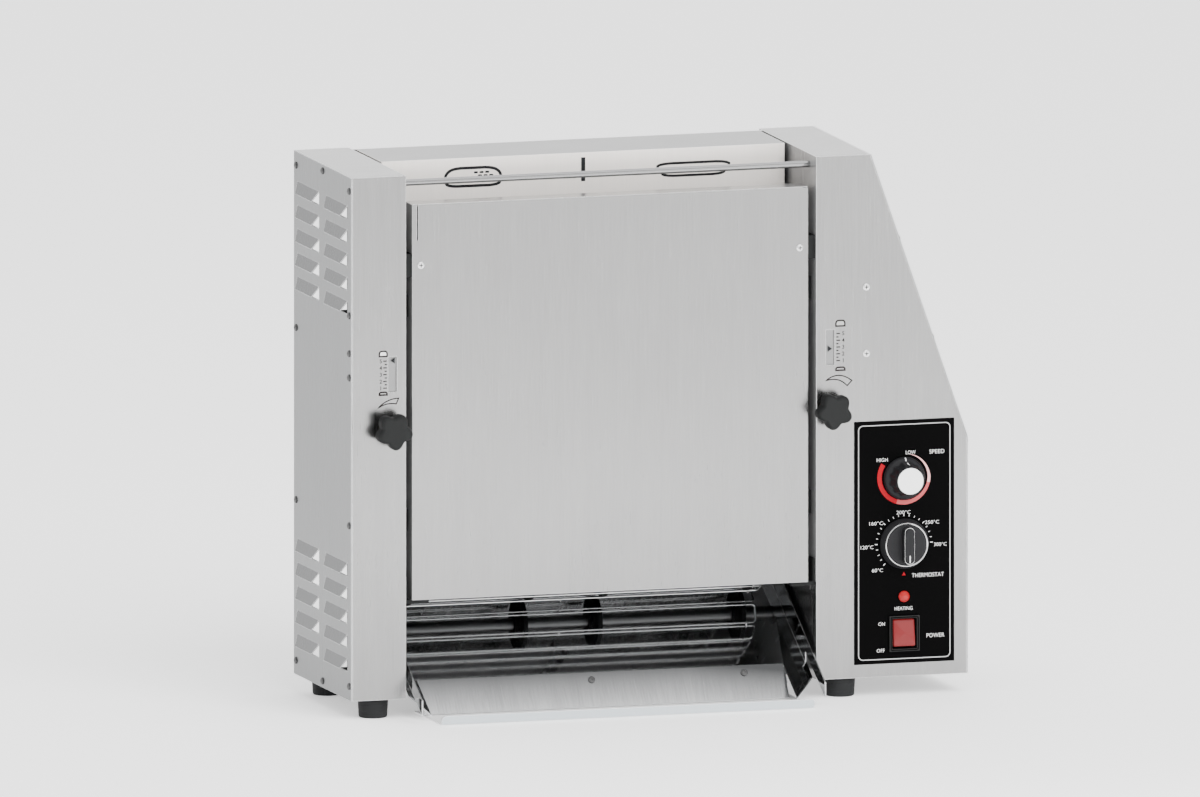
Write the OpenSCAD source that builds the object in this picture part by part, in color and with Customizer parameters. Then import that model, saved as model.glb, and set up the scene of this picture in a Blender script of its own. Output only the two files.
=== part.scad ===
// Vertical bun toaster: two sheet-metal housings carry a heated platen behind a front cover,
// a wire belt on two roller shafts, a discharge chute and two bun thickness adjusters.
// Lengths are millimetres. Design coordinates: X from the left face, Y back from the housing
// fronts, Z up from the housing bottoms. place() moves them so the origin is under the middle.

/* [Housings] */
// Height of the two housings above their feet
body_h = 476; // [460:1:520]
// Depth of the two housings
body_d = 176; // [170:1:220]
// Width of the left housing
left_w = 51.5; // [50:0.5:64]
// Clear width between the housings
chamber_w = 386; // [350:1:440]
// Width of the right housing at its foot
right_w = 142.5; // [132:0.5:170]
// Width of the flat top of the right housing
right_top_w = 51.5; // [44:0.5:70]
// Height where the right side starts to slope inwards
slope_z = 215.5; // [200:0.5:236]
// Thickness of the casing sheet
sheet = 1.2; // [0.8:0.1:1.5]
// Width of the screw flanges inside the housings
flange_w = 14; // [12:0.5:18]
// Height of the rubber feet
foot_h = 17.5; // [14:0.5:24]
// Radius of a foot where it meets the housing
foot_r = 14; // [12:0.5:17]
// Distance of the foot centres from the front and back faces
foot_in = 17.6; // [15.5:0.1:24]

/* [Left side panel] */
// Height of one louvre
louvre_h = 12; // [9:0.5:14]
// Spacing of the louvre rows
louvre_step = 21.7; // [19:0.1:22]
// Rows in each group of louvres
louvre_rows = 5; // [3:1:5]
// Angle that the louvres stand out
louvre_tilt = 13; // [9:1:25]
// Radius of the panel screw heads
screw_r = 3.2; // [2.8:0.1:3.6]

/* [Front cover] */
// Gap between the cover and each housing
cover_gap = 6.8; // [5:0.1:9]
// How far the cover sits behind the housing fronts
cover_set = 3; // [1:0.5:5]
// Height of the cover's lower edge
cover_z = 89; // [84:1:100]
// How far the cover's top lies below the housing tops
cover_drop = 27; // [24:1:36]
// Depth of the cover's folded sides
cover_depth = 21; // [20:0.5:23]

/* [Feed opening and chute] */
// Distance of the feed wall behind the housing fronts
feed_y = 86.5; // [84.5:0.5:92]
// Height of the feed wall
feed_h = 42; // [30:1:44]
// Gap between the feed wall and each housing
feed_gap = 3.4; // [2:0.1:6]
// How far the back panel sits inside the housing backs
rear_in = 11; // [8:0.5:16]
// Diameter of the guard rod over the feed opening
guard_d = 6; // [5:0.5:8]
// Slope of the chute floor
chute_tilt = 29.2; // [28:0.1:31]
// Height of the chute floor in the plane of the housing fronts
chute_z = 2; // [0:0.5:4]
// Height of the chute's side cheeks
cheek_h = 24; // [20:1:26]
// Reach of the cheeks in front of the housings
cheek_reach = 39.5; // [30:0.5:46]
// Slope of the chute nose
nose_tilt = 54.6; // [48:0.2:62]
// Width of the landing tray
tray_w = 351; // [320:1:370]
// Reach of the landing tray in front of the housings
tray_reach = 51; // [46:1:70]
// Height of the tray's front lip
lip_h = 8.6; // [6:0.2:12]

/* [Platen] */
// Thickness of the heated platen
platen_t = 10; // [8:0.5:12]
// Diameter of the heater tubes
heater_d = 5.6; // [4.6:0.1:5.8]
// Number of heater hairpins
heater_n = 4; // [3:1:5]

/* [Wire belt] */
// Distance of the belt's front run behind the housing fronts
belt_y = 77.5; // [77:0.1:78.5]
// Spacing of the belt wires
belt_pitch = 19.7; // [19.2:0.1:20.2]
// Diameter of the belt wires
wire_d = 2; // [1.6:0.1:2.4]
// Height of the lower shaft
low_z = 93; // [92:0.5:100]
// Diameter of the two shafts
shaft_d = 12; // [10:0.5:13]
// Gap between the belt's edges and the housings
belt_gap = 15; // [13:0.5:20]

/* [Thickness adjusters] */
// Height of the star knobs
knob_z = 246.5; // [246:0.5:250]
// Distance of the left star knob from the chamber
left_knob_in = 16.2; // [15:0.1:18]
// Distance of the right star knob from the chamber
right_knob_in = 11.6; // [11.4:0.1:14]
// Outer radius of the star knobs
knob_r = 17; // [15:0.5:19]
// Height of the middle of the left scale window over its knob
left_window_rise = 49.5; // [47.5:0.5:53.5]
// Height of the middle of the right scale window over its knob
right_window_rise = 55.5; // [51.5:0.5:57.5]
// Height of the scale windows
window_h = 32; // [30:0.5:34]
// Width of the scale windows
window_w = 8; // [7:0.2:9]
// Rack travel from one scale number to the next
scale_step = 6.15; // [5.8:0.05:6.2]
// Scale number shown by the left pointer
left_setting = 5; // [1:0.1:5]
// Scale number shown by the right pointer
right_setting = 2.8; // [1:0.1:5]

/* [Controls] */
// Width of the black control overlay
panel_w = 94; // [88:1:98]
// Height of the control overlay
panel_h = 221; // [215:0.5:224]
// Height of the overlay's lower edge
panel_z = 12; // [8:0.5:16]
// Distance from the overlay's right edge to the right side
panel_in = 13; // [11:0.5:16]
// Height of the speed dial
speed_z = 180.2; // [175:0.1:184]
// Height of the thermostat dial
thermo_z = 120.7; // [117:0.1:124]
// Height of the heating lamp
lamp_z = 72.5; // [68:0.5:78]
// Height of the power switch
switch_z = 39; // [36:0.5:42]
// Radius of the cable gland's bore
gland_r = 5; // [4:0.1:6]

/* [Hidden] */
$fn = 48;

// Clearances
fit = 0.05;
clear = 0.3;
cut = 1;
slot_step = 0.05;

// Housings
right_x = left_w + chamber_w;
body_w = right_x + right_w;
mid_chamber = left_w + chamber_w / 2;
slope_a = atan((right_w - right_top_w) / (body_h - slope_z));
rear_y = body_d - rear_in;
left_foot_x = left_w / 2;
right_foot_x = right_x + 27.5;
foot_taper = 1;
head_h = 1.6;
shank_r = 1.5;
shank_hole_r = shank_r + 0.15;
screw_in = 6.5;

// Left louvres: two columns in a top and a bottom group
louvre_inset = 11.5;
louvre_gap = 21;
louvre_back = 11;
louvre_l = (body_d - louvre_inset - louvre_gap - louvre_back) / 2;
louvre_taper = 16;
louvre_relief = 0.2;
blade_t = 0.6 * sheet;
blade_in = sheet / 8;
louvre_out = louvre_h * sin(louvre_tilt) - blade_in;
louvre_cols = [louvre_inset, louvre_inset + louvre_l + louvre_gap];
louvre_tops = [body_h - 26.5, 124.5];
louvre_span = louvre_step * (louvre_rows - 1) + louvre_h;
vent_x = [8, left_w - sheet - 0.5];
vent_rise = 4;
vent_drop = 22;
corner_screw_in = 12.8;
edge_screw_in = 6;
front_screw_f = [0.334, 0.6166, 0.6628, 0.7353];
back_screw_f = [0.334, 0.6628];
corner_zs = [corner_screw_in, body_h - corner_screw_in];
left_screws = concat([for (z = concat(corner_zs, body_h * front_screw_f)) [screw_in, z]],
    [for (z = concat(corner_zs, body_h * back_screw_f)) [body_d - screw_in, z]],
    [for (z = [edge_screw_in, body_h - edge_screw_in]) [body_d / 2, z]]);
right_screw_z = [14, 111, slope_z - 4.5];
slope_screw_f = [0.35, 0.7];

// Front cover
cover_x0 = left_w + cover_gap;
cover_x1 = right_x - cover_gap;
cover_top = body_h - cover_drop;
cover_back = cover_set + cover_depth;
cover_in = cover_set + sheet;
cover_screw_in = 8;
cover_screw_z = cover_top - 55.5;
cover_screw_xs = [cover_x0 + cover_screw_in, cover_x1 - cover_screw_in];
tab_t = 2;
tab_h = 21;
tab_reach = cover_gap + cover_screw_in + 8;
slit_l = 33;
slit_w = 1.2;
slit_in = 4.5;
hook_t = 3;
hook_reach = 6;
bracket_reach = 30;

// Feed opening
feed_x0 = left_w + feed_gap;
feed_x1 = right_x - feed_gap;
guard_y = 21;
guard_z = body_h - 9.5;

// Chute: z_floor gives the top of the chute floor at a depth y
chute_s = tan(chute_tilt);
function z_floor(y) = chute_z + chute_s * y;
chute_side = 3;
chute_x0 = left_w + chute_side;
chute_x1 = right_x - chute_side;
chute_reach = 57.5;
chute_back = belt_y + chute_reach;
nose_y = 20;
nose_side = 13.5;
nose_x0 = chute_x0 + nose_side;
nose_x1 = chute_x1 - nose_side - 9;
tab_front = -25;
tab_back = 2;
wing_rise = 10;
tray_rest = 0.6;
lip_r = 4;
tray_top = -foot_h + tray_rest + sheet;
tray_x0 = mid_chamber - tray_w / 2;
tray_back = nose_y + 10;
lip_lean = 28;
nose_d = [-cos(nose_tilt), -sin(nose_tilt)];
nose_n = [-sin(nose_tilt), cos(nose_tilt)];
nose_top = [nose_y, z_floor(nose_y)];
nose_l = (nose_top[1] - tray_top) / sin(nose_tilt);
nose_end = nose_top + nose_l * nose_d;
nose_flange = 20;
chute_lap = 10;
floor_n = [-sin(chute_tilt), cos(chute_tilt)];
nose_fold = nose_top - sheet * (floor_n + nose_n) / (1 + floor_n * nose_n);
chute_under = sheet / cos(chute_tilt);
nose_screw_at = 8;
nose_screw_x = [mid_chamber - 14, nose_x1 - 38];
pan_y = 60;

// Platen stack, from the cover to the toasting face
platen_side = 20;
platen_x0 = left_w + platen_side;
platen_x1 = right_x - platen_side;
board_t = 6;
board_y = cover_in + 5.8;
spacer_t = 6;
platen_y = board_y + board_t + spacer_t;
platen_face = platen_y + platen_t;
platen_z0 = cover_z + 16;
platen_z1 = cover_top - 19;
tongue_h = 20;
tongue_in = 12;
ear_t = 2;
ear_y = 46;
tongue_low = 45;
tongue_high = 85;
tongue_zs = [platen_z0 + tongue_low, platen_z1 - tongue_high];
heater_side = 28;
heater_y = platen_y - spacer_t / 2;
heater_gap = 26;
heater_end = 20;
heater_step = (platen_z1 - platen_z0 - heater_gap - 2 * heater_end) / (heater_n - 1);
bulb_d = 5;
bulb_l = 100;

// Wire belt: the turn radius follows from the pitch, the runs from the housing height
turn_wires = 8;
belt_r = belt_pitch / (2 * sin(180 / turn_wires));
belt_mid = belt_y + belt_r;
feed_head = 70;
belt_runs = floor((body_h - feed_head - low_z) / belt_pitch);
high_z = low_z + belt_runs * belt_pitch;
belt_x0 = left_w + belt_gap;
belt_x1 = right_x - belt_gap;
link_d = wire_d * 0.8;
link_in = 6;
link_mid = mid_chamber - 17;
half = turn_wires / 2;
wire_count = 2 * belt_runs + turn_wires;
function turn_point(z, a) = [belt_mid + belt_r * cos(a), z + belt_r * sin(a)];
function wire_at(i) = let (k = i % wire_count)
    k <= belt_runs ? [belt_y, low_z + k * belt_pitch]
    : k < belt_runs + half ? turn_point(high_z, 180 - (k - belt_runs) * 360 / turn_wires)
    : k <= 2 * belt_runs + half ? [belt_mid + belt_r, high_z - (k - belt_runs - half) * belt_pitch]
    : turn_point(low_z, -(k - 2 * belt_runs - half) * 360 / turn_wires);
roller_t = 4;
hub_wall = 4;
hub_l = 12;
roller_x = [belt_x0 + 16, link_mid - 30, link_mid + 40, belt_x1 - 20];
bush_r = shaft_d / 2 + 2;
bush_flange_r = shaft_d / 2 + 5;
bush_flange_t = 2;
bush_l = 8;

// Belt drive in the right housing: two equal flanged pulleys with a flat belt
pulley_r = 18.4;
pulley_x = right_x + sheet + bush_l + 4;
pulley_hub_l = 6;
pulley_flange_t = 1.2;
pulley_flange_out = 3;
band_w = 7;
band_t = 2;
band_gap = 0.1;
drive_span = 114.3;
motor_z = low_z + drive_span;
motor_shaft_r = 5;
bracket_gap = 22;
bracket_x = pulley_x + bracket_gap;
bracket_t = 3;
bracket_half = [36, 44];
post_r = 5;
gearbox_l = 34;
gearbox_half = [30, 38];
motor_r = 27;
boss_out = 1;
motor_end_gap = 6;
slope_in = max(0, motor_z + motor_r - slope_z) * tan(slope_a) + sheet / cos(slope_a);
motor_end = body_w - slope_in - motor_end_gap;
motor_l = motor_end - bracket_x - bracket_t - gearbox_l;

// Thickness adjusters, drawn at scale number 5 and moved to their settings
rack_m = 1;
pinion_teeth = 10;
pinion_r = rack_m * pinion_teeth / 2;
tooth_add = 0.8 * rack_m;
tooth_ded = 1.2 * rack_m;
backlash = 0.22;
tooth_half = PI * rack_m / 4 - backlash;
tip_half = 0.28 * rack_m;
root_half = 0.78 * rack_m;
rack_root_half = 0.95 * rack_m;
rack_y0 = 8;
rack_y1 = 14;
rack_back = 3.6;
travel = 4 * scale_step;
cam_k = 0.5;
plate_travel = cam_k * travel;
left_knob_x = left_w - left_knob_in;
right_knob_x = right_x + right_knob_in;
knob_shaft_r = 3;
left_lobe = -13;
right_lobe = 46;
knob_gap = 9;
knob_t = 15;
knob_bore = 10;
neck_r = 8;
knob_bush_r = 5.5;
knob_flange_r = 8.6;
knob_flange_t = 1.5;
knob_bush_l = 6;
left_window_x = left_w - 12.6;
left_window_z = knob_z + left_window_rise;
right_window_x = right_x + 13.1;
right_window_z = knob_z + right_window_rise;
pointer_t = 1.5;
pointer_y = sheet + clear;
pointer_w = 4.4;
arm_z = max(left_window_z, right_window_z) + 28;
arm_t = 5;
slider_top = arm_z + arm_t + 6;
pin_r = 3;
pin_zs = [low_z + 67, arm_z - 40];
plate_t = 2;
plate_wire_gap = 0.45;
plate_y1 = belt_y + wire_d / 2 + plate_wire_gap;
plate_y5 = plate_y1 + plate_travel;
pin_back = 9;
pin_y5 = plate_y5 + pin_back;
plate_z = [low_z + belt_r + 12, high_z - belt_r - 12];
plate_side = 6;
plate_mid_gap = 4;
cam_t = 4;
cam_gap = 0.4;
cam_edge = 5;
cam_y = [pin_y5 - plate_travel - pin_r - cam_edge, pin_y5 + pin_r + cam_edge];
cam_foot = 14;
left_cam_x = left_w - sheet - cam_gap - cam_t;
right_cam_x = right_x + sheet + cam_gap;
pin_end = 1.5;

// Controls
panel_t = 0.6;
panel_x1 = body_w - panel_in;
panel_x0 = panel_x1 - panel_w;
dial_x = panel_x0 + panel_w / 2 - 0.4;
control_shaft_r = 3;
control_bush_r = 4.5;
control_bush_l = 4;
shaft_in = 6;
speed_r = 19.5;
speed_cap_r = 12.2;
speed_l = 21;
thermo_r = 23;
thermo_rim = 9;
thermo_grip = 19;
lamp_r = 5.15;
bezel = [28, 32];
rocker = [20.5, 25];
rocker_gap = 1.5;
bezel_t = 2.6;
switch_wall = 1.2;
switch_l = 22;
rocker_tilt = 8;
rocker_axis_y = 4;
controller_x = panel_x0 + 11.4;
controller_zs = [295, 355.5];
gland_x = body_w - 40;
gland_z = 60;
gland_hex = 12;
gland_out = 12;
gland_nut = 5;

// The object's box decides where its middle lies
tray_front = -tray_reach - lip_h * tan(lip_lean);
mid_x = (body_w + head_h - louvre_out) / 2;
mid_y = (body_d + gland_out + tray_front) / 2;

// Colours
steel = [0.74, 0.75, 0.74];
bright = [0.82, 0.83, 0.83];
dark_steel = [0.36, 0.37, 0.37];
black = [0.13, 0.13, 0.13];
rubber = [0.2, 0.2, 0.2];
brass = [0.72, 0.58, 0.3];
red = [0.78, 0.12, 0.12];

// Shared shapes
module place() translate([-mid_x, -mid_y, foot_h]) children();
module block(low, high) translate(low) cube(high - low);
module bar_x(x0, x1, y, z, r) translate([x0, y, z]) rotate([0, 90, 0]) cylinder(h = x1 - x0, r = r);
module bar_y(y0, y1, x, z, r) translate([x, y0, z]) rotate([-90, 0, 0]) cylinder(h = y1 - y0, r = r);
module slab_x(x0, x1, pts) translate([x0, 0, 0]) rotate([90, 0, 90]) linear_extrude(x1 - x0) polygon(pts);
module slab_y(y0, y1, pts) translate([0, y1, 0]) rotate([90, 0, 0]) linear_extrude(y1 - y0) polygon(pts);

// Outline of the right housing, drawn k inside its sloped side
function right_outline(k) = [[right_x, 0], [body_w - k, 0], [body_w - k, slope_z - k * tan(slope_a / 2)],
    [right_x + right_top_w - k / cos(slope_a), body_h], [right_x, body_h]];

// A pan-head screw along +Z with its head on top of the plane z = 0 and a crossed recess
module screw(shank_l) {
    slot = 0.7;
    difference() {
        union() {
            cylinder(h = head_h / 2, r = screw_r);
            translate([0, 0, head_h / 2]) cylinder(h = head_h / 2, r1 = screw_r, r2 = screw_r * 0.62);
            translate([0, 0, -shank_l]) cylinder(h = shank_l + head_h / 4, r = shank_r);
        }
        for (a = [0, 90])
            rotate([0, 0, a])
                translate([-screw_r * 0.6, -slot / 2, head_h * 0.45])
                    cube([screw_r * 1.2, slot, head_h]);
    }
}
module front_screw(x, y, z, shank_l) translate([x, y, z]) rotate([90, 0, 0]) screw(shank_l);

// A slot through a sheet in the Y-Z plane between two pin centres
module pin_slot(x0, x1, a, b, r) {
    d = b - a;
    turn = atan2(d[1], d[0]);
    for (p = [a, b]) bar_x(x0, x1, p[0], p[1], r);
    half = r - slot_step;
    translate([x0, a[0], a[1]]) rotate([turn, 0, 0]) translate([0, 0, -half])
        cube([x1 - x0, norm(d), 2 * half]);
}

// Holes that the shafts, guide pins, knob and scale window need in a housing
module shaft_holes(x0, x1) {
    for (z = [low_z, high_z]) bar_x(x0, x1, belt_mid, z, bush_r + fit);
    for (z = pin_zs)
        pin_slot(x0, x1, [pin_y5 - plate_travel, z], [pin_y5, z], pin_r + clear);
}
module adjuster_holes(knob_x, win_x, win_z) {
    bar_y(-cut, sheet + cut, knob_x, knob_z, knob_bush_r + fit);
    block([win_x - window_w / 2, -cut, win_z - window_h / 2],
        [win_x + window_w / 2, sheet + cut, win_z + window_h / 2]);
}
module left_screw_places() for (p = left_screws) translate([0, p[0], p[1]]) rotate([0, -90, 0]) children();

// Left housing: an open box with screw flanges and two vent windows in its back
module left_housing() color(steel) place() difference() {
    block([sheet, 0, 0], [left_w, body_d, body_h]);
    block([2 * sheet, sheet, sheet], [left_w - sheet, body_d - sheet, body_h - sheet]);
    block([0, flange_w, flange_w], [3 * sheet, body_d - flange_w, body_h - flange_w]);
    for (top = louvre_tops) {
        block([vent_x[0], body_d - 2 * sheet, top - louvre_span - vent_drop],
            [vent_x[1], body_d + cut, top + vent_rise]);
        block([0, flange_w, top - louvre_span], [3 * sheet, body_d - sheet, top]);
    }
    shaft_holes(left_w - 2 * sheet, left_w + cut);
    adjuster_holes(left_knob_x, left_window_x, left_window_z);
    left_screw_places() translate([0, 0, -3 * sheet]) cylinder(h = 3 * sheet, r = shank_hole_r);
}

// Left side panel: a flat sheet with louvres that stand out below and taper towards the front
module louvre() {
    y1 = louvre_l - louvre_relief;
    translate([blade_in, 0, 0]) rotate([0, louvre_tilt, 0])
        slab_x(0, blade_t, [[louvre_relief, blade_t], [louvre_relief, 0],
            [louvre_relief + louvre_taper, -louvre_h], [y1, -louvre_h], [y1, blade_t]]);
}
module each_louvre() for (y = louvre_cols, top = louvre_tops, row = [0 : louvre_rows - 1])
    translate([0, y, top - row * louvre_step]) children();
module left_side_panel() color(steel) place() {
    difference() {
        block([0, 0, 0], [sheet, body_d, body_h]);
        each_louvre() translate([-cut, 0, -louvre_h]) cube([sheet + 2 * cut, louvre_l, louvre_h]);
        left_screw_places() translate([0, 0, -sheet - cut]) cylinder(h = sheet + 2 * cut, r = shank_hole_r);
    }
    each_louvre() louvre();
}
module left_panel_screws() color(dark_steel) place() left_screw_places() screw(4 * sheet);

// Right housing: front, inner wall, top and bottom, with flanges for the side and back panels
module right_housing() color(steel) place() difference() {
    slab_y(0, body_d - sheet, right_outline(sheet));
    intersection() {
        slab_y(sheet, body_d, right_outline(2 * sheet));
        block([right_x + sheet, sheet, sheet], [body_w, body_d, body_h - sheet]);
    }
    intersection() {
        slab_y(flange_w, body_d - flange_w, right_outline(0));
        block([right_x + sheet, 0, flange_w], [body_w, body_d, body_h - sheet]);
    }
    shaft_holes(right_x - cut, right_x + 2 * sheet);
    adjuster_holes(right_knob_x, right_window_x, right_window_z);
    for (z = [speed_z, thermo_z]) bar_y(-cut, sheet + cut, dial_x, z, control_bush_r + fit);
    bar_y(-cut, sheet + cut, dial_x, lamp_z, lamp_r - 0.5 + fit);
    switch_hole();
    for (z = controller_zs) bar_y(-cut, sheet + cut, controller_x, z, shank_hole_r);
    right_screw_places() translate([0, 0, -4 * sheet]) cylinder(h = 4 * sheet, r = shank_hole_r);
}
module switch_hole() block([dial_x - rocker[0] / 2 - rocker_gap - switch_wall - fit, -cut,
        switch_z - rocker[1] / 2 - rocker_gap - switch_wall - fit],
    [dial_x + rocker[0] / 2 + rocker_gap + switch_wall + fit, sheet + cut,
        switch_z + rocker[1] / 2 + rocker_gap + switch_wall + fit]);

// Right side panel: one sheet over the upright and the sloped side
module right_screw_places() for (y = [screw_in, body_d - screw_in]) {
    for (z = right_screw_z) translate([body_w, y, z]) rotate([0, 90, 0]) children();
    for (f = slope_screw_f)
        translate([body_w - f * (right_w - right_top_w), y, slope_z + f * (body_h - slope_z)])
            rotate([0, 90 - slope_a, 0]) children();
}
module right_side_panel() color(steel) place() difference() {
    slab_y(0, body_d, right_outline(0));
    slab_y(-cut, body_d + cut, concat([[right_x - cut, -cut], [body_w - sheet, -cut]],
        [for (i = [2, 3]) right_outline(sheet)[i]],
        [right_outline(sheet)[3] + [-cut * tan(slope_a), cut], [right_x - cut, body_h + cut]]));
    right_screw_places() translate([0, 0, -3 * sheet]) cylinder(h = 4 * sheet, r = shank_hole_r);
}
module right_panel_screws() color(dark_steel) place() right_screw_places() screw(3.5 * sheet);
module right_rear_panel() color(steel) place() difference() {
    slab_y(body_d - sheet, body_d, right_outline(sheet));
    bar_y(body_d - 2 * sheet, body_d + cut, gland_x, gland_z, gland_r + 3 + fit);
}

// Front cover: a shallow pan with a relief slit, held by two screws on brackets; its folded sides
// are notched where the brackets pass
module side_notch(x, y, z, h)
    block([x - 2 * sheet, y - fit, z - clear], [x + 2 * sheet, cover_back + cut, z + h + clear]);
module front_cover() color(steel) place() difference() {
    block([cover_x0, cover_set, cover_z], [cover_x1, cover_back, cover_top]);
    block([cover_x0 + sheet, cover_in, cover_z + sheet],
        [cover_x1 - sheet, cover_back + cut, cover_top - sheet]);
    block([cover_x0 + 2 * sheet, cover_set + 12, cover_z - cut],
        [cover_x1 - 2 * sheet, cover_back + cut, cover_z + 2 * sheet]);
    block([cover_x0 + slit_in, cover_set - cut, cover_top - slit_l],
        [cover_x0 + slit_in + slit_w, cover_in + cut, cover_top + cut]);
    block([cover_x1 - slit_in, cover_set - cut, cover_top - 1.5],
        [cover_x1 + cut, cover_in, cover_top + cut]);
    for (x = [cover_x0, cover_x1]) {
        side_notch(x, cover_in, cover_screw_z - tab_h / 2, tab_h);
        for (z = tongue_zs) side_notch(x, board_y + board_t, z, tongue_h);
    }
    for (x = cover_screw_xs) bar_y(cover_set - cut, cover_in + cut, x, cover_screw_z, shank_hole_r);
}
module cover_bracket() difference() {
    union() {
        block([left_w, cover_in, cover_screw_z - tab_h / 2],
            [left_w + tab_reach, cover_in + tab_t, cover_screw_z + tab_h / 2]);
        block([left_w, cover_in, cover_screw_z - tab_h / 2],
            [left_w + tab_t, cover_in + bracket_reach, cover_screw_z + tab_h / 2]);
        block([left_w, cover_in, cover_z - hook_t], [left_w + tab_reach, cover_in + hook_reach, cover_z]);
        block([left_w, cover_in, cover_z - hook_t],
            [left_w + tab_t, cover_in + bracket_reach, cover_z + tab_h]);
    }
    bar_y(cover_set, cover_in + 2 * tab_t, cover_screw_xs[0], cover_screw_z, shank_hole_r);
}
module both_sides() {
    children();
    translate([2 * mid_chamber, 0, 0]) mirror([1, 0, 0]) children();
}
module cover_brackets() color(dark_steel) place() both_sides() cover_bracket();
module cover_screws() color(bright) place()
    for (x = cover_screw_xs) front_screw(x, cover_set, cover_screw_z, 3 * sheet + tab_t);

// Rear cabinet: back panel, feed deflector with its top plate, and base pan
module rear_panel() color(steel) place()
    block([left_w, rear_y - sheet, 0], [right_x, rear_y, body_h]);
module feed_deflector() color(bright) place() {
    block([feed_x0, feed_y, body_h - sheet], [feed_x1, rear_y - sheet, body_h]);
    block([feed_x0, feed_y, body_h - feed_h], [feed_x1, feed_y + sheet, body_h]);
    block([feed_x0, feed_y, body_h - feed_h], [feed_x1, feed_y + 4, body_h - feed_h + sheet]);
}
module base_pan() color(dark_steel) place() {
    block([left_w, pan_y, 0], [right_x, rear_y - sheet, sheet]);
    slab_x(left_w, right_x, [[pan_y, 0], [pan_y + sheet, 0],
        [pan_y + sheet, z_floor(pan_y + sheet) - chute_under], [pan_y, z_floor(pan_y) - chute_under]]);
}
module guard_rod() color(bright) place() bar_x(left_w, right_x, guard_y, guard_z, guard_d / 2);
module feet() color(rubber) place()
    for (x = [left_foot_x, right_foot_x], y = [foot_in, body_d - foot_in])
        translate([x, y, -foot_h]) cylinder(h = foot_h, r1 = foot_r - foot_taper, r2 = foot_r);

// Chute: sloped floor with two front tabs, side cheeks and a flange behind the nose
module cheek(x0) slab_x(x0, x0 + sheet, [[chute_back, z_floor(chute_back) - sheet],
    [chute_back, z_floor(chute_back) + cheek_h], [-cheek_reach, z_floor(-cheek_reach) + cheek_h],
    [-cheek_reach, z_floor(-cheek_reach) + wing_rise], [nose_y, z_floor(nose_y) + wing_rise],
    [nose_y, z_floor(nose_y) - sheet]]);
floor_rear = [[nose_y + chute_lap, z_floor(nose_y + chute_lap) - chute_under],
    [chute_back, z_floor(chute_back) - chute_under], [chute_back, z_floor(chute_back)], nose_top];
module chute_side(inner, outer) difference() {
    slab_x(min(inner, outer), max(inner, outer), concat(floor_rear,
        [[tab_front, z_floor(tab_front)], [tab_front, z_floor(tab_front) - chute_under]]));
    past = outer + cut * sign(outer - inner);
    linear_extrude(body_h, center = true) polygon([[inner, tab_front], [outer, tab_back], [past, tab_back],
        [past, tab_front - cut], [inner, tab_front - cut]]);
}
module bun_chute() color(dark_steel) place() difference() {
    flange_end = nose_top + nose_flange * nose_d;
    union() {
        slab_x(nose_x0 - sheet, nose_x1 + sheet,
            concat(floor_rear, [flange_end, flange_end - sheet * nose_n, nose_fold]));
        chute_side(nose_x0, chute_x0);
        chute_side(nose_x1, chute_x1);
        cheek(chute_x0);
        cheek(chute_x1 - sheet);
    }
    nose_screw_places() translate([0, 0, -3 * sheet]) cylinder(h = 4 * sheet, r = shank_hole_r);
}
module nose_screw_places() {
    at = nose_top + nose_screw_at * nose_d + sheet * nose_n;
    for (x = nose_screw_x) translate([x, at[0], at[1]]) rotate([nose_tilt, 0, 0]) children();
}
module chute_nose() color(bright) place() difference() {
    slab_x(nose_x0, nose_x1, [nose_top, nose_top + sheet * nose_n, nose_end + sheet * nose_n, nose_end]);
    nose_screw_places() translate([0, 0, -2 * sheet]) cylinder(h = 3 * sheet, r = shank_hole_r);
}
module chute_screws() color(dark_steel) place() nose_screw_places() screw(3 * sheet);
module landing_tray() color(bright) place() {
    lean = tan(lip_lean);
    low = tray_top - sheet;
    difference() {
        slab_x(tray_x0, tray_x0 + tray_w, [[tray_back, low], [tray_back, tray_top],
            [-tray_reach + sheet, tray_top], [-tray_reach + sheet - (lip_h - sheet) * lean, low + lip_h],
            [-tray_reach - lip_h * lean, low + lip_h], [-tray_reach, low]]);
        lip_corner(tray_x0, 1, low + lip_h);
        lip_corner(tray_x0 + tray_w, -1, low + lip_h);
    }
}
// What is cut off to round an upper corner of the tray's lip; inwards is 1 or -1 along x
module lip_corner(x, inwards, top) slab_y(-tray_reach - lip_h, 0, concat(
    [for (a = [0 : 15 : 90]) [x + inwards * lip_r * (1 - cos(a)), top - lip_r * (1 - sin(a))]],
    [[x + inwards * lip_r, top + cut], [x - inwards * cut, top + cut], [x - inwards * cut, top - lip_r]]));

// Platen stack: insulation board, heater tubes, aluminium platen and the brackets that carry it
module platen() color([0.62, 0.63, 0.64]) place()
    block([platen_x0, platen_y, platen_z0], [platen_x1, platen_face, platen_z1]);
module insulation_board() color([0.86, 0.84, 0.78]) place()
    block([platen_x0, board_y, platen_z0], [platen_x1, board_y + board_t, platen_z1]);
module platen_brackets() color(dark_steel) place() both_sides() for (z = tongue_zs) {
    block([left_w, board_y + board_t, z], [platen_x0 + tongue_in, platen_y, z + tongue_h]);
    block([left_w, board_y + board_t, z], [left_w + ear_t, ear_y, z + tongue_h]);
}
module hairpin(z) {
    x0 = platen_x0 + heater_side + heater_gap / 2;
    x1 = platen_x1 - heater_side;
    for (dz = [0, heater_gap]) bar_x(x0, x1, heater_y, z + dz, heater_d / 2);
    translate([x0, heater_y, z + heater_gap / 2]) rotate([90, 0, 0]) rotate([0, 0, 90])
        rotate_extrude(angle = 180) translate([heater_gap / 2, 0]) circle(heater_d / 2);
}
module heating_elements() color([0.3, 0.28, 0.27]) place()
    for (i = [0 : heater_n - 1]) hairpin(platen_z0 + heater_end + i * heater_step);
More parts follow.
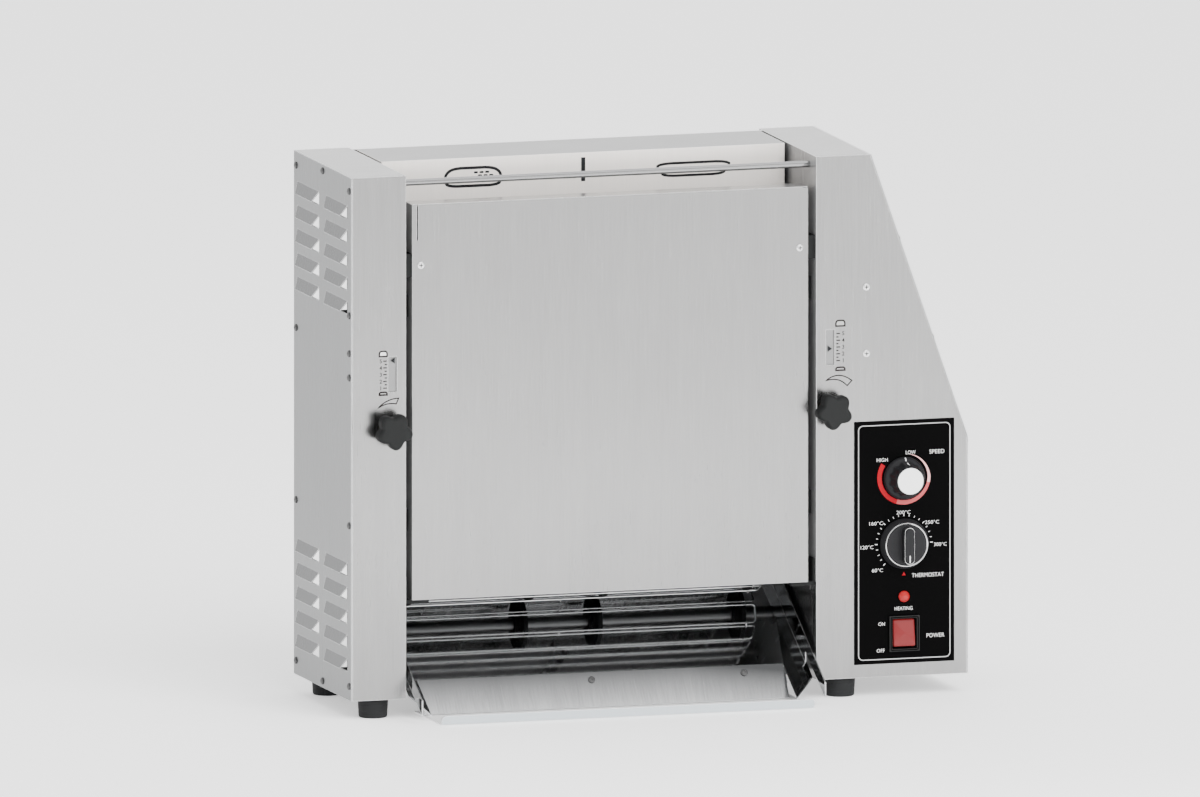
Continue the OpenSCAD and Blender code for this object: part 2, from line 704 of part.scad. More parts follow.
module thermostat_bulb() color(brass) place() bar_x(mid_chamber - bulb_l / 2, mid_chamber + bulb_l / 2,
    heater_y, platen_z0 + heater_end + heater_gap / 2, bulb_d / 2);

// Wire belt: straight wires with hooked links at both edges and near the middle
module wire_belt() color(bright) place() for (i = [0 : wire_count - 1]) {
    here = wire_at(i);
    next = wire_at(i + 1);
    reach = norm(next - here) - wire_d / 2 - clear;
    turn = atan2(next[1] - here[1], next[0] - here[0]);
    bar_x(belt_x0, belt_x1, here[0], here[1], wire_d / 2);
    for (x = [belt_x0 + link_in, link_mid, belt_x1 - link_in])
        translate([x, here[0], here[1]]) rotate([turn, 0, 0]) rotate([-90, 0, 0])
            cylinder(h = reach, r = link_d / 2);
}

// Rollers that carry the belt, and the shafts in flanged bushes
module belt_rollers(z) for (x = roller_x) difference() {
    union() {
        bar_x(x - roller_t / 2, x + roller_t / 2, belt_mid, z, belt_r - wire_d / 2 - clear);
        bar_x(x - hub_l / 2, x + hub_l / 2, belt_mid, z, shaft_d / 2 + hub_wall);
    }
    bar_x(x - hub_l, x + hub_l, belt_mid, z, shaft_d / 2 + fit);
}
module drive_rollers() color(dark_steel) place() belt_rollers(low_z);
module idler_rollers() color(dark_steel) place() belt_rollers(high_z);
shaft_x0 = left_w - sheet - bush_l + 2;
module drive_shaft() color(bright) place()
    bar_x(shaft_x0, pulley_x + band_w / 2 + pulley_hub_l, belt_mid, low_z, shaft_d / 2);
module idler_shaft() color(bright) place()
    bar_x(shaft_x0, right_x + sheet + bush_l - 2, belt_mid, high_z, shaft_d / 2);
module bearing(z) difference() {
    union() {
        bar_x(left_w - sheet - bush_l + bush_flange_t, left_w, belt_mid, z, bush_r);
        bar_x(left_w, left_w + bush_flange_t, belt_mid, z, bush_flange_r);
    }
    bar_x(left_w - bush_l * 2, left_w + bush_l, belt_mid, z, shaft_d / 2 + fit);
}
module shaft_bearings() color(brass) place() both_sides() for (z = [low_z, high_z]) bearing(z);

// Pressure plates inside the belt: each is carried by two pins in its housing wall
function setting_drop(setting) = (setting - 5) * scale_step;
module pressure_plate(x0, x1, pin_x0) {
    block([x0, plate_y5, plate_z[0]], [x1, plate_y5 + plate_t, plate_z[1]]);
    block([x0, plate_y5, plate_z[0]], [x0 + plate_t, plate_y5 + pin_back * 2, plate_z[1]]);
    block([x1 - plate_t, plate_y5, plate_z[0]], [x1, plate_y5 + pin_back, plate_z[1]]);
    for (z = pin_zs) bar_x(pin_x0, x0 + plate_t / 2, pin_y5, z, pin_r);
}
module left_pressure_plate() color(bright) place()
    translate([0, cam_k * setting_drop(left_setting), 0])
        pressure_plate(belt_x0 + plate_side, mid_chamber - plate_mid_gap, left_cam_x - pin_end);
module right_pressure_plate() color(bright) place()
    translate([0, cam_k * setting_drop(right_setting), 0])
        translate([2 * mid_chamber, 0, 0]) mirror([1, 0, 0])
            pressure_plate(belt_x0 + plate_side, mid_chamber - plate_mid_gap, left_cam_x - pin_end);

// Star knob with five lobes, its shaft with a pinion, and the bush in the housing front
module star_knob(x, lobe_at) translate([x, 0, knob_z]) rotate([0, -lobe_at, 0]) difference() {
    union() {
        rotate([90, 0, 0]) translate([0, 0, knob_gap]) linear_extrude(knob_t) difference() {
            union() {
                circle(knob_r * 0.74);
                for (a = [0 : 72 : 288]) rotate(a) translate([knob_r * 0.68, 0]) circle(knob_r * 0.32);
            }
            for (a = [36 : 72 : 324]) rotate(a) translate([knob_r * 1.04, 0]) circle(knob_r * 0.3);
        }
        rotate([90, 0, 0]) translate([0, 0, knob_flange_t + clear])
            cylinder(h = knob_gap - knob_flange_t, r = neck_r);
    }
    rotate([90, 0, 0]) cylinder(h = knob_gap + knob_bore, r = knob_shaft_r + fit);
}
function knob_turn(setting) = setting_drop(setting) / pinion_r * 180 / PI;
left_turn = knob_turn(left_setting);
right_turn = knob_turn(right_setting);
module left_knob() color(black) place() star_knob(left_knob_x, left_lobe);
module right_knob() color(black) place() star_knob(right_knob_x, right_lobe);

// Pinion tooth from root to tip, narrowed by the backlash; the phase puts a gap opposite the rack
module pinion() linear_extrude(rack_y1 - rack_y0) union() {
    circle(pinion_r - tooth_ded);
    for (k = [0 : pinion_teeth - 1]) rotate((k + 0.5) * 360 / pinion_teeth)
        translate([pinion_r, 0]) polygon([[-tooth_ded - 0.3, -root_half], [0, -tooth_half],
            [tooth_add, -tip_half], [tooth_add, tip_half], [0, tooth_half], [-tooth_ded - 0.3, root_half]]);
}
module knob_shaft(x, angle) translate([x, 0, knob_z]) rotate([0, angle, 0]) {
    rotate([90, 0, 0]) translate([0, 0, -rack_y1 - 2])
        cylinder(h = knob_gap + knob_bore + rack_y1 + 1.8, r = knob_shaft_r);
    rotate([90, 0, 0]) translate([0, 0, -rack_y1]) pinion();
}
module left_knob_shaft() color(bright) place() knob_shaft(left_knob_x, left_turn);
module right_knob_shaft() color(bright) place() knob_shaft(right_knob_x, right_turn);
module knob_bushes() color(brass) place() for (x = [left_knob_x, right_knob_x]) difference() {
    union() {
        bar_y(0, knob_bush_l, x, knob_z, knob_bush_r);
        bar_y(-knob_flange_t, 0, x, knob_z, knob_flange_r);
    }
    bar_y(-knob_bush_l, 2 * knob_bush_l, x, knob_z, knob_shaft_r + fit);
}

// Slider: rack, pointer plate behind the window, raised pointer and the arm to the cam bar
module slider(knob_x, win_x, win_z, pointer_dir, arm_x0) {
    arm_x1 = arm_x0 + cam_t;
    pitch_x = knob_x - pinion_r;
    rack_x0 = pitch_x - tooth_ded - rack_back;
    tooth_gap = PI * rack_m;
    tip = win_z + 2 * scale_step;
    block([rack_x0, rack_y0, knob_z - 8], [pitch_x - tooth_ded, rack_y1, slider_top]);
    for (k = [-2 : ceil(travel / tooth_gap) + 2])
        translate([pitch_x, 0, knob_z + k * tooth_gap])
            slab_y(rack_y0, rack_y1, [[-tooth_ded - 0.2, -rack_root_half], [0, -tooth_half],
                [tooth_add, -tip_half], [tooth_add, tip_half], [0, tooth_half],
                [-tooth_ded - 0.2, rack_root_half]]);
    block([min(rack_x0, win_x - window_w / 2 - 2), pointer_y, win_z - window_h / 2 - 1],
        [win_x + window_w / 2 + 2, pointer_y + pointer_t, slider_top]);
    block([rack_x0, pointer_y, arm_z], [pitch_x - tooth_ded, rack_y1, slider_top]);
    slab_y(pointer_t / 5, pointer_y + pointer_t / 2, [[win_x + pointer_dir * pointer_w / 2, tip],
        [win_x - pointer_dir * pointer_w / 2, tip + pointer_w * 0.6],
        [win_x - pointer_dir * pointer_w / 2, tip - pointer_w * 0.6]]);
    block([min(rack_x0, arm_x0), rack_y0, arm_z],
        [max(pitch_x - tooth_ded, arm_x1), rack_y1, arm_z + arm_t]);
    block([arm_x0, rack_y0, arm_z], [arm_x1, cam_y[1], arm_z + arm_t]);
}
module left_slider() color([0.62, 0.62, 0.6]) place() translate([0, 0, setting_drop(left_setting)])
    slider(left_knob_x, left_window_x, left_window_z, -1, left_cam_x);
module right_slider() color([0.62, 0.62, 0.6]) place() translate([0, 0, setting_drop(right_setting)])
    slider(right_knob_x, right_window_x, right_window_z, 1, right_cam_x);

// Cam bar under the slider's arm: its slanted slots move the pressure plate's pins
module cam_bar(x0) difference() {
    block([x0, cam_y[0], pin_zs[0] - cam_foot], [x0 + cam_t, cam_y[1], arm_z]);
    for (z = pin_zs) pin_slot(x0 - cut, x0 + cam_t + cut, [pin_y5, z], [pin_y5 - plate_travel, z + travel],
        pin_r + clear);
}
module left_cam_bar() color(dark_steel) place()
    translate([0, 0, setting_drop(left_setting)]) cam_bar(left_cam_x);
module right_cam_bar() color(dark_steel) place()
    translate([0, 0, setting_drop(right_setting)]) cam_bar(right_cam_x);

// Belt drive: gear motor on a bracket, two equal flanged pulleys and the flat belt round them
module pulley(z, hub_r) {
    seat = band_w / 2 + clear;
    rim = seat + pulley_flange_t;
    bar_x(pulley_x - rim, pulley_x + rim, belt_mid, z, pulley_r - band_t / 2 - band_gap);
    bar_x(pulley_x - rim, pulley_x - seat, belt_mid, z, pulley_r + pulley_flange_out);
    bar_x(pulley_x + seat, pulley_x + rim, belt_mid, z, pulley_r + pulley_flange_out);
    bar_x(pulley_x, pulley_x + rim + pulley_hub_l, belt_mid, z, hub_r);
}
module shaft_pulley() color(dark_steel) place() difference() {
    pulley(low_z, shaft_d / 2 + hub_wall);
    bar_x(pulley_x - 2 * band_w, pulley_x + 2 * band_w, belt_mid, low_z, shaft_d / 2 + fit);
}
module motor_pulley() color(dark_steel) place() {
    pulley(motor_z, motor_shaft_r + hub_wall);
    bar_x(pulley_x - band_w / 2, bracket_x - boss_out, belt_mid, motor_z, motor_shaft_r);
}
module band_outline(grow) {
    for (z = [low_z, motor_z]) translate([belt_mid, z]) circle(pulley_r + grow);
    translate([belt_mid - pulley_r - grow, low_z]) square([2 * (pulley_r + grow), motor_z - low_z]);
}
module drive_belt() color(rubber) place()
    translate([pulley_x - band_w / 2, 0, 0]) rotate([90, 0, 90]) linear_extrude(band_w) difference() {
        band_outline(band_t / 2);
        band_outline(-band_t / 2);
    }
module motor_bracket() color(dark_steel) place() difference() {
    union() {
        block([bracket_x, belt_mid - bracket_half[0], motor_z - bracket_half[1]],
            [bracket_x + bracket_t, belt_mid + bracket_half[0], motor_z + bracket_half[1]]);
        for (y = [-1, 1], z = [-1, 1])
            bar_x(right_x + sheet, bracket_x, belt_mid + y * (bracket_half[0] - post_r),
                motor_z + z * (bracket_half[1] - post_r), post_r);
    }
    bar_x(bracket_x - cut, bracket_x + bracket_t + cut, belt_mid, motor_z, motor_shaft_r + 6);
}
module gear_motor() color([0.45, 0.46, 0.47]) place() {
    gear_x = bracket_x + bracket_t;
    block([gear_x, belt_mid - gearbox_half[0], motor_z - gearbox_half[1]],
        [gear_x + gearbox_l, belt_mid + gearbox_half[0], motor_z + gearbox_half[1]]);
    bar_x(gear_x + gearbox_l, gear_x + gearbox_l + motor_l, belt_mid, motor_z, motor_r);
    bar_x(bracket_x - boss_out, gear_x, belt_mid, motor_z, motor_shaft_r + 4);
}

// Controls on the right housing's front
module control_overlay() color(black) place() difference() {
    block([panel_x0, -panel_t, panel_z], [panel_x1, 0, panel_z + panel_h]);
    for (z = [speed_z, thermo_z]) bar_y(-cut, cut, dial_x, z, control_bush_r + fit);
    bar_y(-cut, cut, dial_x, lamp_z, lamp_r - 0.5 + fit);
    switch_hole();
}
module speed_potentiometer() color(dark_steel) place() difference() {
    union() {
        bar_y(sheet, sheet + 12, dial_x, speed_z, 12);
        bar_y(-control_bush_l, sheet, dial_x, speed_z, control_bush_r);
    }
    bar_y(-control_bush_l - cut, shaft_in, dial_x, speed_z, control_shaft_r + fit);
}
module thermostat_body() color(dark_steel) place() difference() {
    union() {
        block([dial_x - 20, sheet, thermo_z - 17], [dial_x + 20, sheet + 30, thermo_z + 17]);
        bar_y(-control_bush_l, sheet, dial_x, thermo_z, control_bush_r);
    }
    bar_y(-control_bush_l - cut, shaft_in, dial_x, thermo_z, control_shaft_r + fit);
}
knob_back = panel_t + 0.6;
module control_spindle() rotate([90, 0, 0]) translate([0, 0, -shaft_in + 0.4])
    cylinder(h = shaft_in + control_bush_l + 2, r = control_shaft_r);
module speed_knob() color(black) place() translate([dial_x, 0, speed_z]) {
    difference() {
        rotate([90, 0, 0]) translate([0, 0, knob_back]) rotate_extrude() polygon([[0, 0], [speed_r, 0],
            [speed_r - 0.8, 5], [speed_cap_r + 2.4, 7], [speed_cap_r, speed_l - 1.2],
            [speed_cap_r - 1, speed_l], [0, speed_l]]);
        rotate([90, 0, 0]) cylinder(h = control_bush_l + 1, r = control_bush_r + clear);
    }
    control_spindle();
}
module thermostat_knob() color(black) place() translate([dial_x, 0, thermo_z]) {
    grip_w = 9;
    difference() {
        union() {
            rotate([90, 0, 0]) translate([0, 0, knob_back]) rotate_extrude() polygon([[0, 0], [thermo_r, 0],
                [thermo_r - 0.6, 3], [thermo_r - 4, thermo_rim], [thermo_r - 5, thermo_rim + 0.8],
                [0, thermo_rim + 0.8]]);
            block([-grip_w / 2, -knob_back - thermo_grip, -thermo_r + 5.5],
                [grip_w / 2, -knob_back - thermo_rim, thermo_r - 5.5]);
        }
        rotate([90, 0, 0]) cylinder(h = control_bush_l + 1, r = control_bush_r + clear);
    }
    control_spindle();
}
module heating_lamp() color(red) place() translate([dial_x, 0, lamp_z]) rotate([90, 0, 0]) {
    translate([0, 0, panel_t]) rotate_extrude()
        polygon([[0, 0], [lamp_r, 0], [lamp_r, 1.6], [lamp_r - 0.8, 3], [lamp_r - 2.4, 3.9], [0, 4.2]]);
    translate([0, 0, -16]) cylinder(h = 16 + panel_t, r = lamp_r - 0.5);
}

// Power switch: bezel and body round a rocker that tips about a level axis
rocker_room = [rocker[0] + 2 * rocker_gap, rocker[1] + 2 * rocker_gap];
module centred(size, y0, y1) block([dial_x - size[0] / 2, y0, switch_z - size[1] / 2],
    [dial_x + size[0] / 2, y1, switch_z + size[1] / 2]);
module switch_body() color(black) place() difference() {
    union() {
        centred(bezel, -panel_t - bezel_t, -panel_t);
        centred(rocker_room + [2, 2] * switch_wall, -panel_t, switch_l);
    }
    centred(rocker_room, -panel_t - bezel_t - cut, switch_l - 6);
}
module power_rocker() color(red) place()
    translate([dial_x, rocker_axis_y, switch_z]) rotate([-rocker_tilt, 0, 0]) {
    front = -rocker_axis_y - panel_t - bezel_t;
    slab_x(-rocker[0] / 2, rocker[0] / 2, [[2.5, -rocker[1] / 2], [2.5, rocker[1] / 2],
        [front - 1.7, rocker[1] / 2], [front, 0], [front - 1.7, -rocker[1] / 2]]);
    bar_x(-rocker_room[0] / 2 + fit, rocker_room[0] / 2 - fit, 0, 0, 1.5);
}
module speed_controller() color([0.2, 0.3, 0.24]) place() difference() {
    block([controller_x - 20, sheet, controller_zs[0] - 12],
        [controller_x + 20, sheet + 32, controller_zs[1] + 12]);
    for (z = controller_zs) bar_y(0, 10, controller_x, z, shank_hole_r);
}
module controller_screws() color(bright) place()
    for (z = controller_zs) front_screw(controller_x, 0, z, 4 * sheet);

// Cable gland in the right housing's back
module cable_gland() color(black) place() difference() {
    union() {
        bar_y(body_d - sheet - gland_nut, body_d + gland_out - 2, gland_x, gland_z, gland_r + 3);
        translate([gland_x, body_d, gland_z]) rotate([-90, 0, 0])
            cylinder(h = gland_out, r = gland_hex, $fn = 6);
        translate([gland_x, body_d - sheet - gland_nut, gland_z]) rotate([-90, 0, 0])
            cylinder(h = gland_nut, r = gland_hex, $fn = 6);
    }
    bar_y(body_d - sheet - gland_nut - cut, body_d + gland_out + cut, gland_x, gland_z, gland_r);
}

left_housing();
left_side_panel();
left_panel_screws();
right_housing();
right_side_panel();
right_panel_screws();
right_rear_panel();
front_cover();
cover_brackets();
cover_screws();
rear_panel();
feed_deflector();
base_pan();
guard_rod();
feet();
bun_chute();
chute_nose();
chute_screws();
landing_tray();
platen();
heating_elements();
insulation_board();
platen_brackets();
thermostat_bulb();
wire_belt();
drive_shaft();
drive_rollers();
idler_shaft();
idler_rollers();
shaft_bearings();
left_pressure_plate();
right_pressure_plate();
left_knob();
right_knob();
left_knob_shaft();
right_knob_shaft();
knob_bushes();
left_slider();
right_slider();
left_cam_bar();
right_cam_bar();
gear_motor();
motor_bracket();
motor_pulley();
shaft_pulley();
drive_belt();
control_overlay();
speed_knob();
speed_potentiometer();
thermostat_knob();
thermostat_body();
heating_lamp();
switch_body();
power_rocker();
speed_controller();
controller_screws();
cable_gland();
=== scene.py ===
"""Vertical contact toaster: finishes, moulded knobs, lamp, rocker, feet, wire belt and printed marks."""
import bmesh
import bpy
import numpy as np
from mathutils import Matrix, Vector


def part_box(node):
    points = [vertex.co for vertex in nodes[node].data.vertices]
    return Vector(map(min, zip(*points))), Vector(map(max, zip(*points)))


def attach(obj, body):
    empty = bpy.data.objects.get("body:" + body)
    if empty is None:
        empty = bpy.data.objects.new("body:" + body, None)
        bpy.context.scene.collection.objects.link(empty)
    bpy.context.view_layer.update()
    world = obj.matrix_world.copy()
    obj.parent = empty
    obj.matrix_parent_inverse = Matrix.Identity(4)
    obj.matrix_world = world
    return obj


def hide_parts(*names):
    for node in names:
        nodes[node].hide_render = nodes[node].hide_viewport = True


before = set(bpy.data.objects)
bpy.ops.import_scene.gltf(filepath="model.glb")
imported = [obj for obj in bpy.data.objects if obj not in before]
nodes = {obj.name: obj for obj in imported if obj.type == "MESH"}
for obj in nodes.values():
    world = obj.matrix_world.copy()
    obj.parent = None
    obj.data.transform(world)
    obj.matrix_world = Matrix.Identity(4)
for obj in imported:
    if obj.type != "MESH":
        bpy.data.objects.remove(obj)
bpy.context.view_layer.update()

# Places, in millimetres right of the left face, behind the fronts and above the housings' lower edge

MM = 0.001
TURN = 2 * np.pi
X, Y, Z = range(3)
LOW, HIGH = range(2)
LEFT_WIDTH = 51.5
housing_low, housing_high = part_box("left_housing")
# The frame's origin in these millimetres
ORIGIN = np.array([LEFT_WIDTH - housing_high[X] / MM, -housing_low[Y] / MM, -housing_low[Z] / MM])


def metres(x, y, z):
    """Places in these millimetres as metres of the frame."""
    return (np.stack(np.broadcast_arrays(x, y, z), axis=-1) - ORIGIN) * MM


def mid(node):
    """Middle of a node in these millimetres."""
    low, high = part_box(node)
    return (np.array(low) + np.array(high)) / 2 / MM + ORIGIN


def edge_of(node, axis, side):
    """The lowest or highest place of a node along an axis, in these millimetres."""
    return float(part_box(node)[side][axis]) / MM + ORIGIN[axis]


# Finishes

class Wire:
    """A socket of a finish. Arithmetic on it adds Math nodes, so 1 - mask * 0.5 reads as it is worked out."""

    def __init__(self, finish, socket):
        self.finish = finish
        self.socket = socket

    def math(self, operation, *values):
        return self.finish.node("ShaderNodeMath", {"operation": operation}, dict(enumerate(values)))

    def __add__(self, other):
        return self.math("ADD", self, other)

    def __radd__(self, other):
        return self.math("ADD", other, self)

    def __sub__(self, other):
        return self.math("SUBTRACT", self, other)

    def __rsub__(self, other):
        return self.math("SUBTRACT", other, self)

    def __mul__(self, other):
        return self.math("MULTIPLY", self, other)

    def __pow__(self, other):
        return self.math("POWER", self, other)

    def __abs__(self):
        return self.math("ABSOLUTE", self)

    def above(self, limit):
        """1 where the value lies above the limit, else 0."""
        return self.math("GREATER_THAN", self, limit)

    def below(self, limit):
        """1 where the value lies below the limit, else 0."""
        return self.math("LESS_THAN", self, limit)

    def near(self, value, reach):
        """1 where the value lies within reach of another, else 0."""
        return self.math("COMPARE", self, value, reach)

    def clip(self):
        """The value held between 0 and 1."""
        return self.math("MULTIPLY", self, 1.0).clamped()

    def clamped(self):
        """This value, its own node held between 0 and 1."""
        self.socket.node.use_clamp = True
        return self


class Finish:
    """A material with one principled shader, built from nodes on Object coordinates."""

    def __init__(self, name, **constants):
        self.material = bpy.data.materials.new(name)
        self.material.use_nodes = True
        self.tree = self.material.node_tree
        self.tree.nodes.clear()
        self.shader = self.tree.nodes.new("ShaderNodeBsdfPrincipled")
        output = self.tree.nodes.new("ShaderNodeOutputMaterial")
        self.tree.links.new(self.shader.outputs[0], output.inputs[0])
        self.coords = self.node("ShaderNodeTexCoord", output="Object")
        self.set(**constants)

    def node(self, kind, settings=None, inputs=None, output=0):
        """A new node: its settings first, then the values or links of its sockets; gives one output."""
        made = self.tree.nodes.new(kind)
        for key, value in (settings or {}).items():
            setattr(made, key, value)
        for key, value in (inputs or {}).items():
            if isinstance(value, Wire):
                self.tree.links.new(value.socket, made.inputs[key])
            else:
                made.inputs[key].default_value = value
        return Wire(self, made.outputs[output])

    def set(self, **sockets):
        """Values or links for the shader's sockets, named with underscores for spaces."""
        for key, value in sockets.items():
            socket = self.shader.inputs[key.replace("_", " ")]
            if isinstance(value, Wire):
                self.tree.links.new(value.socket, socket)
            else:
                socket.default_value = value

    def noise(self, scale, detail, rough):
        """Noise from 0 to 1, stretched by one scale for each axis."""
        at = self.node("ShaderNodeMapping", None, {"Vector": self.coords, "Scale": scale})
        return self.node("ShaderNodeTexNoise", None,
                         {"Vector": at, "Scale": 1.0, "Detail": detail, "Roughness": rough})

    def axis(self, name):
        """One object coordinate, in metres."""
        return self.node("ShaderNodeSeparateXYZ", None, {0: self.coords}, name)

    def facing(self, name):
        """One component of the surface's normal."""
        normal = self.node("ShaderNodeNewGeometry", output="Normal")
        return self.node("ShaderNodeSeparateXYZ", None, {0: normal}, name)

    def blend(self, amount, low, high):
        """Colour from low to high by amount."""
        return self.node("ShaderNodeMix", {"data_type": "RGBA"}, {0: amount, 6: low, 7: high}, 2)

    def softened(self, radius):
        """The normal with its corners rounded over radius, and how far it leans from the flat one."""
        bent = self.node("ShaderNodeBevel", {"samples": 6}, {"Radius": radius})
        flat = self.node("ShaderNodeNewGeometry", output="Normal")
        along = self.node("ShaderNodeVectorMath", {"operation": "DOT_PRODUCT"}, {0: bent, 1: flat}, "Value")
        return bent, (1.0 - along).clamped()

    def bump(self, height, strength, distance, normal=None):
        """A bump from height, over an already softened normal where one is given."""
        inputs = {"Strength": strength, "Distance": distance, "Height": height}
        if normal is not None:
            inputs["Normal"] = normal
        return self.node("ShaderNodeBump", None, inputs)


def opaque(colour):
    """A colour of three parts with full cover."""
    return tuple(colour) + (1.0,)


def grey(value, warm=0.0):
    """A grey colour, a little warmer where warm is above zero."""
    return opaque((value * (1 + warm), value, value * (1 - warm)))


EDGE_RADIUS = 1.3 * MM
NOSE_SHADE_REACH = 90 * MM
LIP_DEPTH = 5.4 * MM
BLADE_LEAN = 0.22


def brushed(name, low, high, rough, grain=(760, 760, 26), warm=0.0, metal=1.0, depth=0.06, over=None):
    """Brushed sheet: fine streaks along the axis with the small scale, cloudy handling marks and pale edges,
    a painted highlight along the corners.
    Over may change the colour by place on the sheet and dull its metal there."""
    made = Finish(name, Metallic=metal)
    streak = made.noise(grain, 3.0, 0.62)
    broad = made.noise(tuple(g * 0.15 for g in grain), 2.0, 0.5)
    cloud = made.noise((9, 9, 9), 2.0, 0.5)
    smudge = made.noise((26, 26, 14), 4.0, 0.55)
    bent, edges = made.softened(EDGE_RADIUS)
    tone = ((streak - 0.5) * 1.1 + (broad - 0.5) * 0.35 + (cloud - 0.5) * 0.35 + 0.5).clip()
    colour = made.blend(tone, grey(low, warm), grey(high, warm))
    if over is not None:
        colour = over(made, colour)
    # Painted highlight: the rounded corners are lightened towards pale grey
    colour = made.blend((edges * 4.5).clamped(), colour, grey(0.93, warm / 2))
    made.set(Base_Color=colour, Roughness=rough + (streak - 0.5) * 0.14 + (smudge - 0.5) * 0.06,
             Normal=made.bump(streak, depth, 0.2 * MM, bent))
    return made


def heat_haze(made, colour):
    """Painted shade and painted reflection of the dark cover above: the nose is darkened from its foot to its
    top, next to the toasting gap, and towards its right end."""
    (_, _, foot), (end, _, top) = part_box("chute_nose")
    height = ((made.axis("Z") - foot) * (1 / (top - foot))).clip()
    near_end = ((made.axis("X") - end) * (1 / NOSE_SHADE_REACH) + 1.0).clip()
    # Painted shade: the colour is pulled towards near black by height and by nearness to the right end
    return made.blend((height ** 0.75 * 0.92 + near_end * 0.22).clip(), colour, grey(0.06, -0.02))


def matt_walls(made, colour):
    """Painted light in the shaded gaps: the walls beside them are made matt grey from the lower edge of the
    front cover upwards, so that the gaps read dim grey rather than black.
    """
    wall = abs(made.facing("X")).above(0.8) * made.axis("Z").above(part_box("front_cover")[LOW][Z])
    made.set(Metallic=1.0 - wall * 0.9)
    return made.blend(wall, colour, grey(0.22))


def lip_tint(made, colour):
    """Painted shade: the tray's lip is coloured bluer and darker than its floor, which faces up into the
    light.
    """
    lip = made.axis("Y").below(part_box("landing_tray")[LOW][Y] + LIP_DEPTH)
    return made.blend(lip, colour, opaque((0.47, 0.51, 0.535)))


def plate_shade(made, colour):
    """The top plate, which faces up, keeps the plain steel of the housings; the wall below it is painted
    bright and nearly matt, a painted highlight for the strong light falling on it.
    """
    top = made.facing("Z").above(0.7)
    made.set(Metallic=0.2 + top * 0.8)
    return made.blend(top, colour, grey(0.3))


def blade_shade(made, colour):
    """The louvre blades, whose outer faces lean a little upwards, are painted darker than the flat panel:
    painted shade for the light their tilted faces catch.
    """
    leaning = made.facing("Z").near(BLADE_LEAN, 0.1)
    return made.blend(leaning, colour, grey(0.175, -0.01))


def turned(name, low, high, rough, metal=1.0, speck=900):
    """Machined metal: fine even grain, faint oil clouds and pale corners, a painted highlight."""
    made = Finish(name, Metallic=metal)
    grain = made.noise((speck, speck, speck), 3.0, 0.6)
    cloud = made.noise((60, 60, 60), 3.0, 0.6)
    bent, edges = made.softened(0.3 * MM)
    colour = made.blend((grain * 0.5 + cloud * 0.5).clip(), grey(low), grey(high))
    # Painted highlight: the rounded corners are lightened towards a paler grey
    colour = made.blend((edges * 4.0).clamped(), colour, grey(min(0.92, high * 1.5)))
    made.set(Base_Color=colour, Roughness=rough + (cloud - 0.5) * 0.16,
             Normal=made.bump(grain, 0.05, 0.2 * MM, bent))
    return made


def moulded(name, low, high, rough, speck=2600, coat=0.0, strength=0.14, metal=0.0, shine=0.5):
    """Moulded plastic or rubber: spark-eroded grain, slight colour drift, paler corners, partly wear and
    partly a painted highlight.
    """
    made = Finish(name, Metallic=metal, Coat_Weight=coat, Specular_IOR_Level=shine)
    grain = made.noise((speck, speck, speck), 2.0, 0.6)
    cloud = made.noise((45, 45, 45), 3.0, 0.55)
    bent, edges = made.softened(0.5 * MM)
    colour = made.blend((grain * 0.35 + cloud * 0.65).clip(), opaque(low), opaque(high))
    worn_and_highlit = opaque(min(1.0, part * 1.45 + 0.012) for part in high)
    # Paler corners: partly wear, partly a painted highlight along the rims
    colour = made.blend((edges * 2.4).clamped(), colour, worn_and_highlit)
    made.set(Base_Color=colour, Roughness=rough + (cloud - 0.5) * 0.12,
             Normal=made.bump(grain, strength, 0.3 * MM, bent))
    return made


def printed(name, colour, shine=0.5):
    """Screen ink: slightly uneven cover, faint orange-peel."""
    made = Finish(name, Specular_IOR_Level=shine)
    grain = made.noise((2400, 2400, 2400), 2.0, 0.6)
    thin = opaque(part * 0.9 for part in colour)
    made.set(Base_Color=made.blend(grain, thin, opaque(colour)), Roughness=0.45 + (grain - 0.5) * 0.1,
             Normal=made.bump(grain, 0.05, 0.1 * MM))
    return made


def lit_lens(name, low, high, glow):
    """Clear red moulding over a lamp: fine grain, a slow drift of colour, paler edges that are a painted
    highlight, and a faint glow.
    """
    made = Finish(name, Roughness=0.3, Coat_Weight=0.15, Emission_Strength=glow, Specular_IOR_Level=0.3)
    grain = made.noise((320, 320, 320), 3.0, 0.55)
    drift = made.noise((70, 70, 70), 2.0, 0.5)
    bent, edges = made.softened(0.6 * MM)
    colour = made.blend((grain * 0.3 + drift * 0.7).clip(), opaque(low), opaque(high))
    # Painted highlight: the rounded edges are lightened towards a pale red
    colour = made.blend((edges * 1.5).clamped(), colour, opaque((0.55, 0.13, 0.12)))
    made.set(Base_Color=colour, Emission_Color=colour, Normal=made.bump(grain, 0.06, 0.3 * MM, bent))
    return made


casing = brushed("casing_brushed_steel", 0.27, 0.36, 0.25, warm=0.006, over=matt_walls)
side_sheet = brushed("side_brushed_steel", 0.255, 0.315, 0.26, warm=-0.01)
louvre_sheet = brushed("louvre_brushed_steel", 0.255, 0.315, 0.26, warm=-0.01, over=blade_shade)
louvre_sheet.set(Specular_Tint=(0.6, 0.6, 0.6, 1.0))
inner_sheet = brushed("inner_sheet_steel", 0.26, 0.34, 0.34)
# Painted highlight: the feed wall's warm near-white colour stands for the strong light on it, not for the
# steel's own colour
feed_sheet = brushed("feed_brushed_steel", 0.86, 0.97, 0.34, warm=0.06, over=plate_shade)
nose_sheet = brushed("nose_brushed_steel", 0.32, 0.56, 0.24, grain=(700, 40, 40), warm=-0.008, over=heat_haze)
